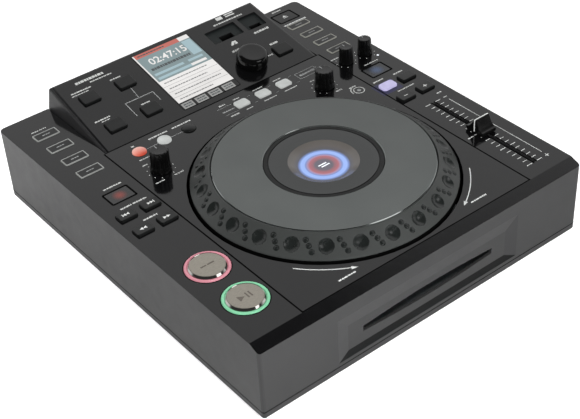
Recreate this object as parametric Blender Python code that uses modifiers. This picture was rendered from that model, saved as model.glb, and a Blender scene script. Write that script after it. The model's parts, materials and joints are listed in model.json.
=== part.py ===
# Tabletop disc player with a jog wheel, a sloping display console and a pitch fader
# Metres, +Z up, front towards -Y, origin on the table under the middle of the body

import math

import bmesh
import bpy
from mathutils import Matrix, Vector

# Driving sizes of the body
JOG_HOLE_RADIUS = 0.1088
PANEL_SIDE_RIM = 0.0052
WING_WIDTH = 0.047
BEVEL_RUN = 0.0103
BEVEL_DROP = 0.0038
BEVEL_TO_PANEL = 0.0003
JOG_FRONT_RIM = 0.0031
STRIP_DEPTH = 0.0349
RISER_DEPTH = 0.0914
RISER_RISE = 0.0200
BODY_HEIGHT = 0.0659
FOOT_DROP = 0.005

# Clearances and cutting overrun
GAP = 0.0003
OVER = 0.004
MERGE = 0.00005

# Walls
BASE_THICK = 0.002
BASE_RIM_HEIGHT = 0.0053
COVER_WALL = 0.0025
SHELF_THICK = 0.0022
SHELF_LAND = 0.005
POCKET_WALL = 0.001
PANEL_THICK = 0.0025
RISER_WALL = 0.0032
FRONT_CORNER = 0.0025
BACK_CORNER = 0.005

# Places that follow from the driving sizes
PANEL_HALF = JOG_HOLE_RADIUS + PANEL_SIDE_RIM
BODY_HALF = PANEL_HALF + WING_WIDTH
PANEL_DEPTH = JOG_FRONT_RIM + 2 * JOG_HOLE_RADIUS + STRIP_DEPTH
BODY_DEPTH = BEVEL_RUN + BEVEL_TO_PANEL + PANEL_DEPTH + RISER_DEPTH
FRONT = -BODY_DEPTH / 2
BACK = BODY_DEPTH / 2
PANEL_FRONT = FRONT + BEVEL_RUN + BEVEL_TO_PANEL
RISER_FRONT = BACK - RISER_DEPTH
JOG_Y = PANEL_FRONT + JOG_FRONT_RIM + JOG_HOLE_RADIUS
BASE_TOP = FOOT_DROP + BASE_THICK
COVER_BOTTOM = FOOT_DROP + BASE_RIM_HEIGHT + GAP
DECK = FOOT_DROP + BODY_HEIGHT
POCKET_FLOOR = DECK - PANEL_THICK - GAP
SHELF_FLOOR = POCKET_FLOOR - SHELF_THICK

# Disc slot and the hollow in the front wall that leads to it
RECESS_DEPTH = 0.0022
RECESS_HALF = 0.0915
RECESS_SIDE_SLOPE = 0.0112
RECESS_LOW = 0.0090
RECESS_HIGH = 0.0500
RECESS_LEDGE_RISE = 0.0050
SLOT_LIP = 0.0064
SLOT_HEIGHT_ABOVE_BASE = 0.0264
SLOT_HALF = 0.0658
SLOT_END_HALF_HEIGHT = 0.0025
SLOT_MID_HALF_HEIGHT = 0.0051
SLOT_STEPS = 12
FRONT_WALL = RECESS_DEPTH + COVER_WALL
SLOT_Z = FOOT_DROP + SLOT_HEIGHT_ABOVE_BASE

# Console that slopes up behind the jog wheel
RISER_LIP = 0.0005
RISER_INSET = 0.0015
RISER_DRAFT = 0.004
RISER_ROUND = 0.003
RISER_HALF = PANEL_HALF - RISER_INSET
RISER_TAN = (RISER_RISE - RISER_LIP) / RISER_DEPTH
RISER_SLOPE = math.atan(RISER_TAN)
RISER_LENGTH = RISER_DEPTH / math.cos(RISER_SLOPE)
CAVITY_START = 0.007

# Keys
KEY_FLANGE = 0.0007
KEY_FLANGE_THICK = 0.001
KEY_ROUND = 0.0009
SOURCE_KEY_SIZE = (0.0214, 0.0098)
MODE_KEY_SIZE = (0.0218, 0.0082)
GUARDED_KEY_SIZE = (0.0205, 0.0144)
GUARD_MARGIN = 0.0012
GUARD_DEPTH = 0.0012
SMALL_KEY_SIZE = (0.0152, 0.0100)
CONSOLE_KEY_SIZE = (0.0165, 0.0125)
PAD_SIZE = (0.0132, 0.0104)
FLAT_PROUD = 0.0007
SMALL_PROUD = 0.0022
PAD_PROUD = 0.0008
GUARDED_PROUD = 0.0
ROUND_KEY_RADIUS = 0.0060
ROUND_KEY_PROUD = 0.0024
ROUND_SIDES = 20

# Cue and play buttons with their lit ring
BIG_RADIUS = 0.0144
BIG_PROUD = 0.0042
BIG_EDGE = 0.0012
RING_OUTER = 0.0176
RING_PROUD = 0.0018
RING_INNER_PROUD = 0.0026
RING_FLANGE = 0.0012
RING_FLANGE_THICK = 0.0014
GUIDE_BRIDGE_HALF = 0.005
RING_SIDES = 32

# Rotary knobs: top radius, skirt radius, height
KNOB_LIFT = 0.0008
KNOB_SHAFT = 0.003
KNOB_SHAFT_BELOW = 0.004
KNOB_FLUTES = 12
KNOB_FLUTE_SHARE = 0.93
TIME_KNOB = (0.0058, 0.0067, 0.0157)
JOG_WEIGHT_KNOB = (0.0074, 0.0089, 0.0195)
TOUCH_KNOB = (0.0073, 0.0089, 0.0172)
BROWSE_RADIUS = 0.0143
BROWSE_TOP_RADIUS = 0.0125
BROWSE_HEIGHT = 0.0128
BROWSE_LIFT = 0.0012
BROWSE_BORE = 0.0085
BROWSE_ROUND = 0.0028
BROWSE_SHOULDER_SHARE = 0.45
BROWSE_ARC_STEPS = 4

# Jog wheel, heights above the deck
JOG_RUNNING_GAP = 0.0027
JOG_SKIRT_DROP = 0.005
JOG_EDGE_RISE = 0.0018
JOG_WALL = 0.0025
JOG_LIP_GAP = 0.0006
JOG_RING_WIDTH = 0.0176
JOG_PLATE_RADIUS = JOG_HOLE_RADIUS - JOG_RUNNING_GAP - JOG_RING_WIDTH
JOG_PLATE_RISE = 0.0152
JOG_PLATE_THICK = 0.002
JOG_SEAT = 0.004
JOG_WINDOW_RADIUS = 0.0476
JOG_CUP_WALL = 0.0018
JOG_CUP_FLOOR = 0.0064
JOG_WEB = 0.002
JOG_SIDES = 60
DIMPLE_COUNT = 24
DIMPLE_RADIUS = 0.0061
DIMPLE_DEPTH = 0.0022
DIMPLE_PHASE = math.radians(-99.1)
COLUMN_RADIUS = 0.016
COLUMN_SHOULDER = 0.022
COLUMN_BORE = 0.010
SLEEVE_WALL = 0.004
SLEEVE_DROP = 0.012
HUB_FLANGE_RADIUS = 0.055
HUB_FLANGE_THICK = 0.003
DISPLAY_BOWL_RADIUS = 0.0285
DISPLAY_BOWL_FLOOR_RADIUS = 0.0210
DISPLAY_BOWL_RISE = 0.0105

# Pitch fader
FADER_SLOT_LENGTH = 0.1152
FADER_SLOT_WIDTH = 0.0034
FADER_STEM_WIDTH = 0.0022
FADER_STEM_LENGTH = 0.012
FADER_CAP_SIZE = (0.0156, 0.0190, 0.0134)
FADER_REST = 0.0019
FADER_LIFT = 0.0008
FADER_STEM_DROP = 0.010
FADER_RAIL_HALF = 0.007
FADER_RAIL_DEPTH = 0.013
FADER_RAIL_END = 0.006

# Screen and sockets of the console
SCREEN_TO_RISER_ENDS = 0.0094
SCREEN_SIZE = (0.0600, RISER_DEPTH - SCREEN_TO_RISER_ENDS)
LENS_THICK = 0.002
BAY_DEPTH = 0.0018
USB_BAY_SIZE = (0.0325, 0.0175)
CARD_BAY_SIZE = (0.0205, 0.0190)
USB_PORT_SIZE = (0.0140, 0.0072)
CARD_PORT_SIZE = (0.0126, 0.0052)
PORT_TO_BAY_EDGE = 0.0010
PORT_WALL = 0.001
PORT_DEPTH = 0.010
BOARD_THICK = 0.0016
BOARD_MARGIN = 0.002
LCD_MARGIN = 0.0015

# Drive, boards and rear sockets
DRIVE_HALF = 0.073
DRIVE_DEPTH = 0.170
DRIVE_HEIGHT = 0.0387
DRIVE_MOUTH_HALF_HEIGHT = 0.0036
DISC_RADIUS = 0.060
DISC_CENTRE_FROM_MOUTH = 0.066
DISC_CLEAR = 0.002
TURNTABLE_RADIUS = 0.013
TURNTABLE_THICK = 0.008
TURNTABLE_NOSE_RADIUS = 0.0073
TURNTABLE_NOSE = 0.0006
TURNTABLE_SINK = 0.0002
BOSS_HEIGHT = 0.006
BOSS_HALF = 0.004
BOARD_WALL_GAP = 0.003
MAIN_BOARD_SIZE = (0.150, 0.085)
SUPPLY_BOARD_SIZE = (0.090, 0.085)
JACK_HEIGHT = 0.0135
PHONO_BLOCK_SIZE = (0.034, 0.012)
PHONO_RADIUS = 0.0042
PHONO_SPACING = 0.016
LINK_JACK_SIZE = (0.0165, 0.018)
LINK_HOLE_SIZE = (0.0120, 0.0085)
LINK_HOLE_DEPTH = 0.012
INLET_SIZE = (0.029, 0.022, 0.021)
INLET_HOLE_SIZE = (0.0245, 0.0165)
INLET_HOLE_DEPTH = 0.016
INLET_PIN_SIZE = (0.002, 0.011, 0.004)
INLET_PIN_SPACING = 0.007
CAPACITOR_RADIUS = 0.009
CAPACITOR_HEIGHT = 0.022
TRANSFORMER_SIZE = (0.032, 0.030, 0.024)
REAR_SINK = 0.0004

# Power rocker
ROCKER_HALF_WIDTH = 0.0045
ROCKER_HALF_HEIGHT = 0.006
ROCKER_HALF_DEPTH = 0.003
ROCKER_FRONT_GAP = 0.0039
ROCKER_SWING_GAP = 0.0011
ROCKER_ABOVE_BASE = 0.033
ROCKER_TILT = math.radians(-8)
ROCKER_HOUSING_WALL = 0.0015
ROCKER_HOUSING_DEPTH = 0.006

# Feet
FOOT_RADIUS = 0.012
FOOT_INSET = 0.030
FOOT_EDGE = 0.0015

# Places along the wings, as shares of their length from the panel front to the back
WING_LENGTH = BACK - PANEL_FRONT
WING_AXIS_SHARE = 0.4374
WING_COLUMN_SHARE = 0.2328
SOURCE_SHARE = 0.9026
SOURCE_PITCH_SHARE = 0.0661
EJECT_SHARE = 0.9484
MODE_SHARE = 0.8911
MODE_PITCH_SHARE = 0.0549
TIME_KNOB_SHARE = 0.6594
GUARDED_SHARE = 0.5780
UPPER_PAIR_SHARE = 0.5014
LOWER_PAIR_SHARE = 0.4346
CUE_SHARE = 0.2412
PLAY_SHARE = 0.1095
FADER_SHARE = 0.2055

# Places on the centre panel, back from the riser or in from its edges
PAD_ROW_BACK = 0.0166
PAD_FIRST_X = 0.0150
PAD_PITCH = 0.0228
ROUND_FIRST_SHARE = -0.7919
ROUND_PITCH_SHARE = 0.2171
JOG_WEIGHT_BACK = 0.0491
JOG_WEIGHT_IN = 0.0230
TOUCH_BACK = 0.0444
TOUCH_IN = 0.0302

# Places on the console, as shares of its half width and of its sloping length
CONSOLE_KEY_X_SHARES = (-0.7773, -0.4576)
CONSOLE_KEY_S_SHARES = (0.243, 0.665)
BACK_KEY_SHARES = (0.8037, 0.243)
BROWSE_SHARES = (0.5006, 0.243)
SCREEN_SHARES = (0.0088, 0.503)
USB_SHARES = (0.5358, 0.742)
CARD_SHARES = (0.8135, 0.742)

# Places in the back wall, as shares of the body's half width
PHONO_X_SHARE = -0.62
LINK_X_SHARE = -0.30
INLET_X_SHARE = 0.66
ROCKER_X_SHARE = 0.86
MAIN_BOARD_X_SHARE = -0.42
SUPPLY_BOARD_X_SHARE = 0.60

# Start from an empty scene
for thing in list(bpy.data.objects):
    bpy.data.objects.remove(thing)

parts = bpy.data.collections.new("disc_player")
cutters = bpy.data.collections.new("cutters")
bpy.context.scene.collection.children.link(parts)
bpy.context.scene.collection.children.link(cutters)


def finish(name, colour, roughness, metallic):
    """A Principled material; colour is red, green, blue and alpha."""
    material = bpy.data.materials.new(name)
    material.use_nodes = True
    shader = material.node_tree.nodes["Principled BSDF"]
    shader.inputs["Base Color"].default_value = colour
    shader.inputs["Roughness"].default_value = roughness
    shader.inputs["Metallic"].default_value = metallic
    return material


FINISHES = {
    "gloss_black": finish("gloss_black_abs", (0.016, 0.017, 0.018, 1), 0.18, 0),
    "panel_black": finish("panel_black_abs", (0.021, 0.022, 0.023, 1), 0.2, 0),
    "key_black": finish("key_black_abs", (0.03, 0.031, 0.032, 1), 0.35, 0),
    "knob_black": finish("knob_black_rubber", (0.012, 0.012, 0.012, 1), 0.5, 0),
    "browse_black": finish("browse_gloss_black", (0.01, 0.01, 0.01, 1), 0.1, 0),
    "wheel_dark": finish("wheel_dark_rubber", (0.03, 0.034, 0.034, 1), 0.4, 0),
    "plate_grey": finish("anodised_grey", (0.13, 0.14, 0.14, 1), 0.35, 0.6),
    "display_black": finish("display_window", (0.02, 0.02, 0.02, 1), 0.1, 0),
    "lit_white": finish("lit_white_key", (0.68, 0.72, 0.7, 1), 0.4, 0),
    "lit_red": finish("lit_red_key", (0.8, 0.27, 0.17, 1), 0.4, 0),
    "lit_violet": finish("lit_violet_key", (0.6, 0.55, 0.82, 1), 0.4, 0),
    "smoke_blue": finish("smoked_blue_key", (0.05, 0.07, 0.09, 1), 0.3, 0),
    "smoke_red": finish("smoked_red_key", (0.12, 0.06, 0.05, 1), 0.3, 0),
    "light_guide": finish("lit_guide", (0.45, 0.75, 0.55, 1), 0.4, 0),
    "cap_metal": finish("brushed_cap", (0.36, 0.32, 0.29, 1), 0.3, 0.9),
    "lens": finish("screen_lens", (0.6, 0.65, 0.7, 1), 0.08, 0),
    "board_green": finish("circuit_board", (0.02, 0.12, 0.05, 1), 0.5, 0),
    "steel": finish("zinc_steel", (0.45, 0.46, 0.47, 1), 0.35, 1),
    "base_black": finish("base_black", (0.02, 0.02, 0.02, 1), 0.45, 0),
    "foot_rubber": finish("foot_rubber", (0.015, 0.015, 0.015, 1), 0.8, 0),
}


def add_box(bm, low, high):
    """A box between two corners; returns its verts."""
    low = Vector(low)
    high = Vector(high)
    place = Matrix.LocRotScale((low + high) / 2, None, high - low)
    return bmesh.ops.create_cube(bm, size=1, matrix=place)["verts"]


def add_block(bm, x, y, size, bottom, top):
    """A box by its plan centre and plan size."""
    half_x = size[0] / 2
    half_y = size[1] / 2
    return add_box(bm, (x - half_x, y - half_y, bottom), (x + half_x, y + half_y, top))


def add_cylinder(bm, x, y, radius, bottom, top, sides=32):
    """An upright cylinder."""
    place = Matrix.Translation((x, y, (bottom + top) / 2))
    bmesh.ops.create_cone(bm, cap_ends=True, segments=sides, radius1=radius,
                          radius2=radius, depth=top - bottom, matrix=place)


def edges_of(verts):
    """Every edge that joins two of these verts."""
    chosen = set(verts)
    return {e for v in verts for e in v.link_edges if set(e.verts) <= chosen}


def is_upright(edge):
    """True where an edge runs along Z."""
    run = edge.verts[0].co - edge.verts[1].co
    return abs(run.z) > abs(run.x) + abs(run.y)


def round_uprights(bm, verts, radius, segments=3):
    """Round a box's four upright edges."""
    edges = [e for e in edges_of(verts) if is_upright(e)]
    bmesh.ops.bevel(bm, geom=edges, offset=radius, segments=segments, profile=0.5, affect="EDGES")


def make(name, bm, collection, place=(0, 0, 0), tilt=0):
    """Turn a bmesh into an object in a collection."""
    bmesh.ops.recalc_face_normals(bm, faces=bm.faces)
    mesh = bpy.data.meshes.new(name)
    bm.to_mesh(mesh)
    bm.free()
    thing = bpy.data.objects.new(name, mesh)
    thing.location = place
    thing.rotation_euler = (tilt, 0, 0)
    collection.objects.link(thing)
    return thing


def make_part(name, bm, finish_name, place=(0, 0, 0), tilt=0):
    """A sub-part with its material."""
    thing = make(name, bm, parts, place, tilt)
    thing.data.materials.append(FINISHES[finish_name])
    return thing


def make_cutter(name, bm, place=(0, 0, 0), tilt=0):
    """A guide solid for a Boolean, kept out of the build."""
    thing = make(name, bm, cutters, place, tilt)
    thing.hide_render = True
    thing.display_type = "WIRE"
    return thing


def combine(part, tool, operation="DIFFERENCE"):
    """Cut a part with a tool, or join the tool to it."""
    step = part.modifiers.new(tool.name, "BOOLEAN")
    step.operation = operation
    step.solver = "EXACT"
    step.object = tool


def turned(name, profile, sides, finish_name, place=(0, 0, 0), tilt=0, closed=False):
    """A turned piece: its profile, outer side running down, swept by a Screw."""
    bm = bmesh.new()
    verts = [bm.verts.new((radius, 0, height)) for radius, height in profile]
    for one, two in zip(verts, verts[1:]):
        bm.edges.new((one, two))
    if closed:
        bm.edges.new((verts[-1], verts[0]))
    collection = parts if finish_name else cutters
    mesh = bpy.data.meshes.new(name)
    bm.to_mesh(mesh)
    bm.free()
    thing = bpy.data.objects.new(name, mesh)
    thing.location = place
    thing.rotation_euler = (tilt, 0, 0)
    collection.objects.link(thing)
    spin = thing.modifiers.new("turn", "SCREW")
    spin.axis = "Z"
    spin.steps = sides
    spin.render_steps = sides
    spin.use_smooth_shade = True
    spin.use_merge_vertices = True
    spin.merge_threshold = MERGE
    if finish_name:
        thing.data.materials.append(FINISHES[finish_name])
    else:
        thing.hide_render = True
        thing.display_type = "WIRE"
    return thing


def wing_x(side, column=0):
    """A place across a wing: side is -1 or 1, column -1, 0 or 1 from inner to outer."""
    return side * (PANEL_HALF + WING_WIDTH * (WING_AXIS_SHARE + column * WING_COLUMN_SHARE))


def wing_y(share):
    """A place along the wings."""
    return PANEL_FRONT + share * WING_LENGTH


def console_point(x, along, above=0):
    """A point on the console's sloping face, in world coordinates."""
    return (x, RISER_FRONT + along * math.cos(RISER_SLOPE) - above * math.sin(RISER_SLOPE),
            DECK + RISER_LIP + along * math.sin(RISER_SLOPE) + above * math.cos(RISER_SLOPE))


def console_place(shares):
    """The plan place on the console face that a pair of shares gives."""
    return shares[0] * RISER_HALF, shares[1] * RISER_LENGTH


def console_top(y, above=0):
    """Height of the console face, or of a plane parallel to it, over a world y."""
    return DECK + RISER_LIP + (y - RISER_FRONT) * RISER_TAN + above / math.cos(RISER_SLOPE)


# Every rectangular key: name, x, y, size, how far it stands proud, finish
WING_KEYS = []
for number in range(4):
    WING_KEYS.append(("source_key_%d" % (number + 1), wing_x(-1),
                      wing_y(SOURCE_SHARE - number * SOURCE_PITCH_SHARE),
                      SOURCE_KEY_SIZE, FLAT_PROUD, "key_black"))
    WING_KEYS.append(("mode_key_%d" % (number + 1), wing_x(1),
                      wing_y(MODE_SHARE - number * MODE_PITCH_SHARE),
                      MODE_KEY_SIZE, FLAT_PROUD, "key_black"))
WING_KEYS += [
    ("search_back_key", wing_x(-1, 1), wing_y(UPPER_PAIR_SHARE), SMALL_KEY_SIZE, SMALL_PROUD, "key_black"),
    ("search_forward_key", wing_x(-1, -1), wing_y(UPPER_PAIR_SHARE), SMALL_KEY_SIZE, SMALL_PROUD,
     "key_black"),
    ("track_back_key", wing_x(-1, 1), wing_y(LOWER_PAIR_SHARE), SMALL_KEY_SIZE, SMALL_PROUD, "key_black"),
    ("track_next_key", wing_x(-1, -1), wing_y(LOWER_PAIR_SHARE), SMALL_KEY_SIZE, SMALL_PROUD, "key_black"),
    ("key_lock_key", wing_x(1, -1), wing_y(UPPER_PAIR_SHARE), SMALL_KEY_SIZE, SMALL_PROUD, "lit_violet"),
    ("tempo_range_key", wing_x(1, 1), wing_y(UPPER_PAIR_SHARE), SMALL_KEY_SIZE, SMALL_PROUD, "key_black"),
    ("tempo_minus_key", wing_x(1, -1), wing_y(LOWER_PAIR_SHARE), SMALL_KEY_SIZE, SMALL_PROUD, "key_black"),
    ("tempo_plus_key", wing_x(1, 1), wing_y(LOWER_PAIR_SHARE), SMALL_KEY_SIZE, SMALL_PROUD, "key_black"),
]
GUARDED_KEYS = [
    ("reverse_key", wing_x(-1), wing_y(GUARDED_SHARE), "smoke_red"),
    ("eject_key", wing_x(1), wing_y(EJECT_SHARE), "key_black"),
    ("vinyl_mode_key", wing_x(1), wing_y(GUARDED_SHARE), "smoke_blue"),
]
TIME_KNOBS = [
    ("stop_time_knob", wing_x(1, -1), wing_y(TIME_KNOB_SHARE)),
    ("start_time_knob", wing_x(1, 1), wing_y(TIME_KNOB_SHARE)),
]
CUE_PLACE = (wing_x(-1), wing_y(CUE_SHARE))
PLAY_PLACE = (wing_x(-1), wing_y(PLAY_SHARE))
FADER_PLACE = (wing_x(1), wing_y(FADER_SHARE))
PAD_Y = RISER_FRONT - PAD_ROW_BACK
PADS = [("hot_cue_pad_%d" % (n + 1), PAD_FIRST_X + n * PAD_PITCH, PAD_Y) for n in range(3)]
ROUND_KEYS = [(name, PANEL_HALF * (ROUND_FIRST_SHARE + n * ROUND_PITCH_SHARE), PAD_Y, look)
              for n, (name, look) in enumerate((("loop_in_key", "lit_red"), ("loop_out_key", "lit_white"),
                                                ("reloop_key", "key_black")))]
JOG_WEIGHT_PLACE = (-PANEL_HALF + JOG_WEIGHT_IN, RISER_FRONT - JOG_WEIGHT_BACK)
TOUCH_PLACE = (PANEL_HALF - TOUCH_IN, RISER_FRONT - TOUCH_BACK)
CONSOLE_KEYS = []
for row, s_share in enumerate(reversed(CONSOLE_KEY_S_SHARES)):
    for column, x_share in enumerate(CONSOLE_KEY_X_SHARES):
        CONSOLE_KEYS.append(("menu_key_%d" % (2 * row + column + 1), (x_share, s_share)))
CONSOLE_KEYS.append(("back_key", BACK_KEY_SHARES))


def key_hole(bm, x, y, size, bottom, top):
    """The clearance hole round a rectangular key."""
    verts = add_block(bm, x, y, (size[0] + 2 * GAP, size[1] + 2 * GAP), bottom, top)
    round_uprights(bm, verts, KEY_ROUND + GAP, 2)


def flanged_key(name, size, proud, plate, finish_name, place, tilt=0):
    """A key: a cap through its hole and a wider flange that keeps it in."""
    bm = bmesh.new()
    below = plate + GAP
    cap = add_block(bm, 0, 0, size, -below, proud)
    floor = min(bm.faces, key=lambda f: f.calc_center_median().z)
    wider = bmesh.ops.extrude_face_region(bm, geom=[floor])["geom"]
    rim = [v for v in wider if isinstance(v, bmesh.types.BMVert)]
    bmesh.ops.delete(bm, geom=[floor], context="FACES_ONLY")
    for vert in rim:
        vert.co.x += math.copysign(KEY_FLANGE, vert.co.x)
        vert.co.y += math.copysign(KEY_FLANGE, vert.co.y)
    bottom = min((f for f in bm.faces if len(set(f.verts) & set(rim)) == 4),
                 key=lambda f: f.calc_center_median().z)
    lower = bmesh.ops.extrude_face_region(bm, geom=[bottom])["geom"]
    bmesh.ops.delete(bm, geom=[bottom], context="FACES_ONLY")
    for vert in lower:
        if isinstance(vert, bmesh.types.BMVert):
            vert.co.z -= KEY_FLANGE_THICK
    kept = [v for v in cap if v.is_valid]
    shaped = [e for e in edges_of(kept) if max(v.co.z for v in e.verts) > -below / 2]
    bmesh.ops.bevel(bm, geom=shaped, offset=KEY_ROUND, segments=1,
                    profile=0.5, affect="EDGES", clamp_overlap=True)
    return make_part(name, bm, finish_name, place, tilt)


def build_base():
    """Bottom tray: a plate with a low rim, and the bosses that carry the boards."""
    bm = bmesh.new()
    verts = add_box(bm, (-BODY_HALF, FRONT, FOOT_DROP), (BODY_HALF, BACK, COVER_BOTTOM - GAP))
    round_body_corners(bm, verts)
    base = make_part("base_plate", bm, "base_black")
    tray = bmesh.new()
    verts = add_box(tray, (-BODY_HALF + COVER_WALL, FRONT + COVER_WALL, BASE_TOP),
                    (BODY_HALF - COVER_WALL, BACK - COVER_WALL, COVER_BOTTOM + OVER))
    round_uprights(tray, verts, BACK_CORNER - COVER_WALL)
    combine(base, make_cutter("base_tray", tray))
    bosses = bmesh.new()
    for x, y in board_boss_places():
        add_block(bosses, x, y, (2 * BOSS_HALF, 2 * BOSS_HALF), FOOT_DROP + BASE_THICK / 2,
                  BASE_TOP + BOSS_HEIGHT - GAP)
    combine(base, make_cutter("base_bosses", bosses), "UNION")


def round_body_corners(bm, verts):
    """Round the body's upright corners, more at the back than at the front."""
    edges = [e for e in edges_of(verts) if is_upright(e)]
    rear = [e for e in edges if e.verts[0].co.y > 0]
    fore = [e for e in edges if e.verts[0].co.y < 0]
    bmesh.ops.bevel(bm, geom=rear, offset=BACK_CORNER, segments=5, profile=0.5, affect="EDGES")
    bmesh.ops.bevel(bm, geom=fore, offset=FRONT_CORNER, segments=3, profile=0.5, affect="EDGES")


def board_rect(x_share, size):
    """Plan corners of a board that stands behind the back wall."""
    x = x_share * BODY_HALF
    y_high = BACK - COVER_WALL - BOARD_WALL_GAP
    return x - size[0] / 2, y_high - size[1], x + size[0] / 2, y_high


def board_boss_places():
    """The corners where both boards are screwed down."""
    places = []
    for x_share, size in ((MAIN_BOARD_X_SHARE, MAIN_BOARD_SIZE), (SUPPLY_BOARD_X_SHARE, SUPPLY_BOARD_SIZE)):
        x_low, y_low, x_high, y_high = board_rect(x_share, size)
        for x in (x_low + BOSS_HALF, x_high - BOSS_HALF):
            for y in (y_low + BOSS_HALF, y_high - BOSS_HALF):
                places.append((x, y))
    return places


def build_feet():
    """Four rubber feet under the base plate."""
    for side, x in (("left", -BODY_HALF + FOOT_INSET), ("right", BODY_HALF - FOOT_INSET)):
        for end, y in (("front", FRONT + FOOT_INSET), ("back", BACK - FOOT_INSET)):
            profile = [(0, FOOT_DROP - GAP), (FOOT_RADIUS, FOOT_DROP - GAP), (FOOT_RADIUS, FOOT_EDGE),
                       (FOOT_RADIUS - FOOT_EDGE, 0), (0, 0)]
            turned("foot_%s_%s" % (end, side), profile, ROUND_SIDES, "foot_rubber", (x, y, 0))


def build_cover():
    """Top cover: deck, walls, front bevel, disc slot and every opening."""
    bm = bmesh.new()
    bottom = COVER_BOTTOM
    verts = add_box(bm, (-BODY_HALF, FRONT, bottom), (BODY_HALF, BACK, DECK))
    round_body_corners(bm, verts)
    everything = bm.verts[:] + bm.edges[:] + bm.faces[:]
    bmesh.ops.bisect_plane(bm, geom=everything, plane_co=(0, FRONT + BEVEL_RUN, 0), plane_no=(0, 1, 0))
    for vert in bm.verts:
        if vert.co.z > bottom + BEVEL_DROP:
            into_bevel = FRONT + BEVEL_RUN - vert.co.y
            vert.co.z -= max(0, into_bevel) * BEVEL_DROP / BEVEL_RUN
    cover = make_part("top_cover", bm, "gloss_black")

    hollow = bmesh.new()
    add_box(hollow, (-BODY_HALF + COVER_WALL, FRONT + FRONT_WALL, bottom - OVER),
            (BODY_HALF - COVER_WALL, BACK - COVER_WALL, SHELF_FLOOR))
    combine(cover, make_cutter("cover_hollow", hollow))

    wings = bmesh.new()
    for side in (-1, 1):
        inner = side * (PANEL_HALF + POCKET_WALL)
        outer = side * (BODY_HALF - COVER_WALL)
        add_box(wings, (min(inner, outer), FRONT + BEVEL_RUN + COVER_WALL, SHELF_FLOOR - OVER),
                (max(inner, outer), BACK - COVER_WALL, DECK - COVER_WALL))
    combine(cover, make_cutter("cover_wing_hollows", wings))

    housing = bmesh.new()
    rocker_block(housing, ROCKER_HOUSING_WALL, BACK - COVER_WALL - ROCKER_HOUSING_DEPTH,
                 BACK - COVER_WALL / 2)
    combine(cover, make_cutter("rocker_housing", housing), "UNION")

    pocket = bmesh.new()
    add_box(pocket, (-PANEL_HALF, PANEL_FRONT, POCKET_FLOOR), (PANEL_HALF, RISER_FRONT, DECK + OVER))
    combine(cover, make_cutter("cover_panel_pocket", pocket))
    seat = bmesh.new()
    add_box(seat, (-RISER_HALF, RISER_FRONT - OVER, POCKET_FLOOR), (RISER_HALF, BACK + OVER, DECK + OVER))
    combine(cover, make_cutter("cover_riser_seat", seat))

    through = bmesh.new()
    add_box(through, (-PANEL_HALF + SHELF_LAND, JOG_Y, SHELF_FLOOR - OVER),
            (PANEL_HALF - SHELF_LAND, RISER_FRONT - SHELF_LAND, DECK + OVER))
    combine(cover, make_cutter("cover_strip_opening", through))
    well = bmesh.new()
    add_cylinder(well, 0, JOG_Y, JOG_HOLE_RADIUS + GAP, SHELF_FLOOR - OVER, DECK + OVER, JOG_SIDES)
    combine(cover, make_cutter("cover_jog_well", well))
    under_riser = bmesh.new()
    add_box(under_riser, (-RISER_HALF + SHELF_LAND, RISER_FRONT + CAVITY_START, SHELF_FLOOR - OVER),
            (RISER_HALF - SHELF_LAND, BACK - SHELF_LAND, DECK + OVER))
    combine(cover, make_cutter("cover_riser_opening", under_riser))

    combine(cover, make_cutter("cover_guards", guard_pockets()))
    combine(cover, make_cutter("cover_wing_holes", wing_holes()))
    combine(cover, front_recess())
    combine(cover, disc_slot())
    combine(cover, make_cutter("cover_rear_holes", rear_holes()))


def guard_pockets():
    """Shallow sunk frames round the guarded keys."""
    bm = bmesh.new()
    size = (GUARDED_KEY_SIZE[0] + 2 * GUARD_MARGIN, GUARDED_KEY_SIZE[1] + 2 * GUARD_MARGIN)
    for _, x, y, _ in GUARDED_KEYS:
        verts = add_block(bm, x, y, size, DECK - GUARD_DEPTH, DECK + OVER)
        round_uprights(bm, verts, KEY_ROUND, 2)
    return bm


def wing_holes():
    """Holes through the wings for keys, knobs, the lit rings and the fader."""
    bm = bmesh.new()
    low = DECK - COVER_WALL - OVER / 2
    high = DECK + OVER
    for _, x, y, size, _, _ in WING_KEYS:
        key_hole(bm, x, y, size, low, high)
    for _, x, y, _ in GUARDED_KEYS:
        key_hole(bm, x, y, GUARDED_KEY_SIZE, low, high)
    for _, x, y in TIME_KNOBS:
        add_cylinder(bm, x, y, KNOB_SHAFT + GAP, low, high, 16)
    for x, y in (CUE_PLACE, PLAY_PLACE):
        add_cylinder(bm, x, y, RING_OUTER + GAP, low, high, RING_SIDES)
    add_block(bm, FADER_PLACE[0], FADER_PLACE[1], (FADER_SLOT_WIDTH, FADER_SLOT_LENGTH), low, high)
    return bm


def front_recess():
    """The shallow hollow in the front wall: a block whose front face is spread out."""
    bm = bmesh.new()
    plane = FRONT
    deep = FRONT + RECESS_DEPTH
    slot_top = SLOT_Z + SLOT_MID_HALF_HEIGHT + SLOT_LIP
    ledge = FOOT_DROP + RECESS_LOW + RECESS_LEDGE_RISE
    verts = add_box(bm, (-RECESS_HALF + RECESS_SIDE_SLOPE, plane, ledge),
                    (RECESS_HALF - RECESS_SIDE_SLOPE, deep, slot_top))
    for vert in verts:
        if vert.co.y < plane + RECESS_DEPTH / 2:
            vert.co.x = math.copysign(RECESS_HALF, vert.co.x)
            vert.co.z = FOOT_DROP + (RECESS_HIGH if vert.co.z > SLOT_Z else RECESS_LOW)
    mouth = min(bm.faces, key=lambda f: f.calc_center_median().y)
    outward = bmesh.ops.extrude_face_region(bm, geom=[mouth])["geom"]
    bmesh.ops.delete(bm, geom=[mouth], context="FACES_ONLY")
    for vert in outward:
        if isinstance(vert, bmesh.types.BMVert):
            vert.co.y -= OVER
    return make_cutter("cover_front_recess", bm)


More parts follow.
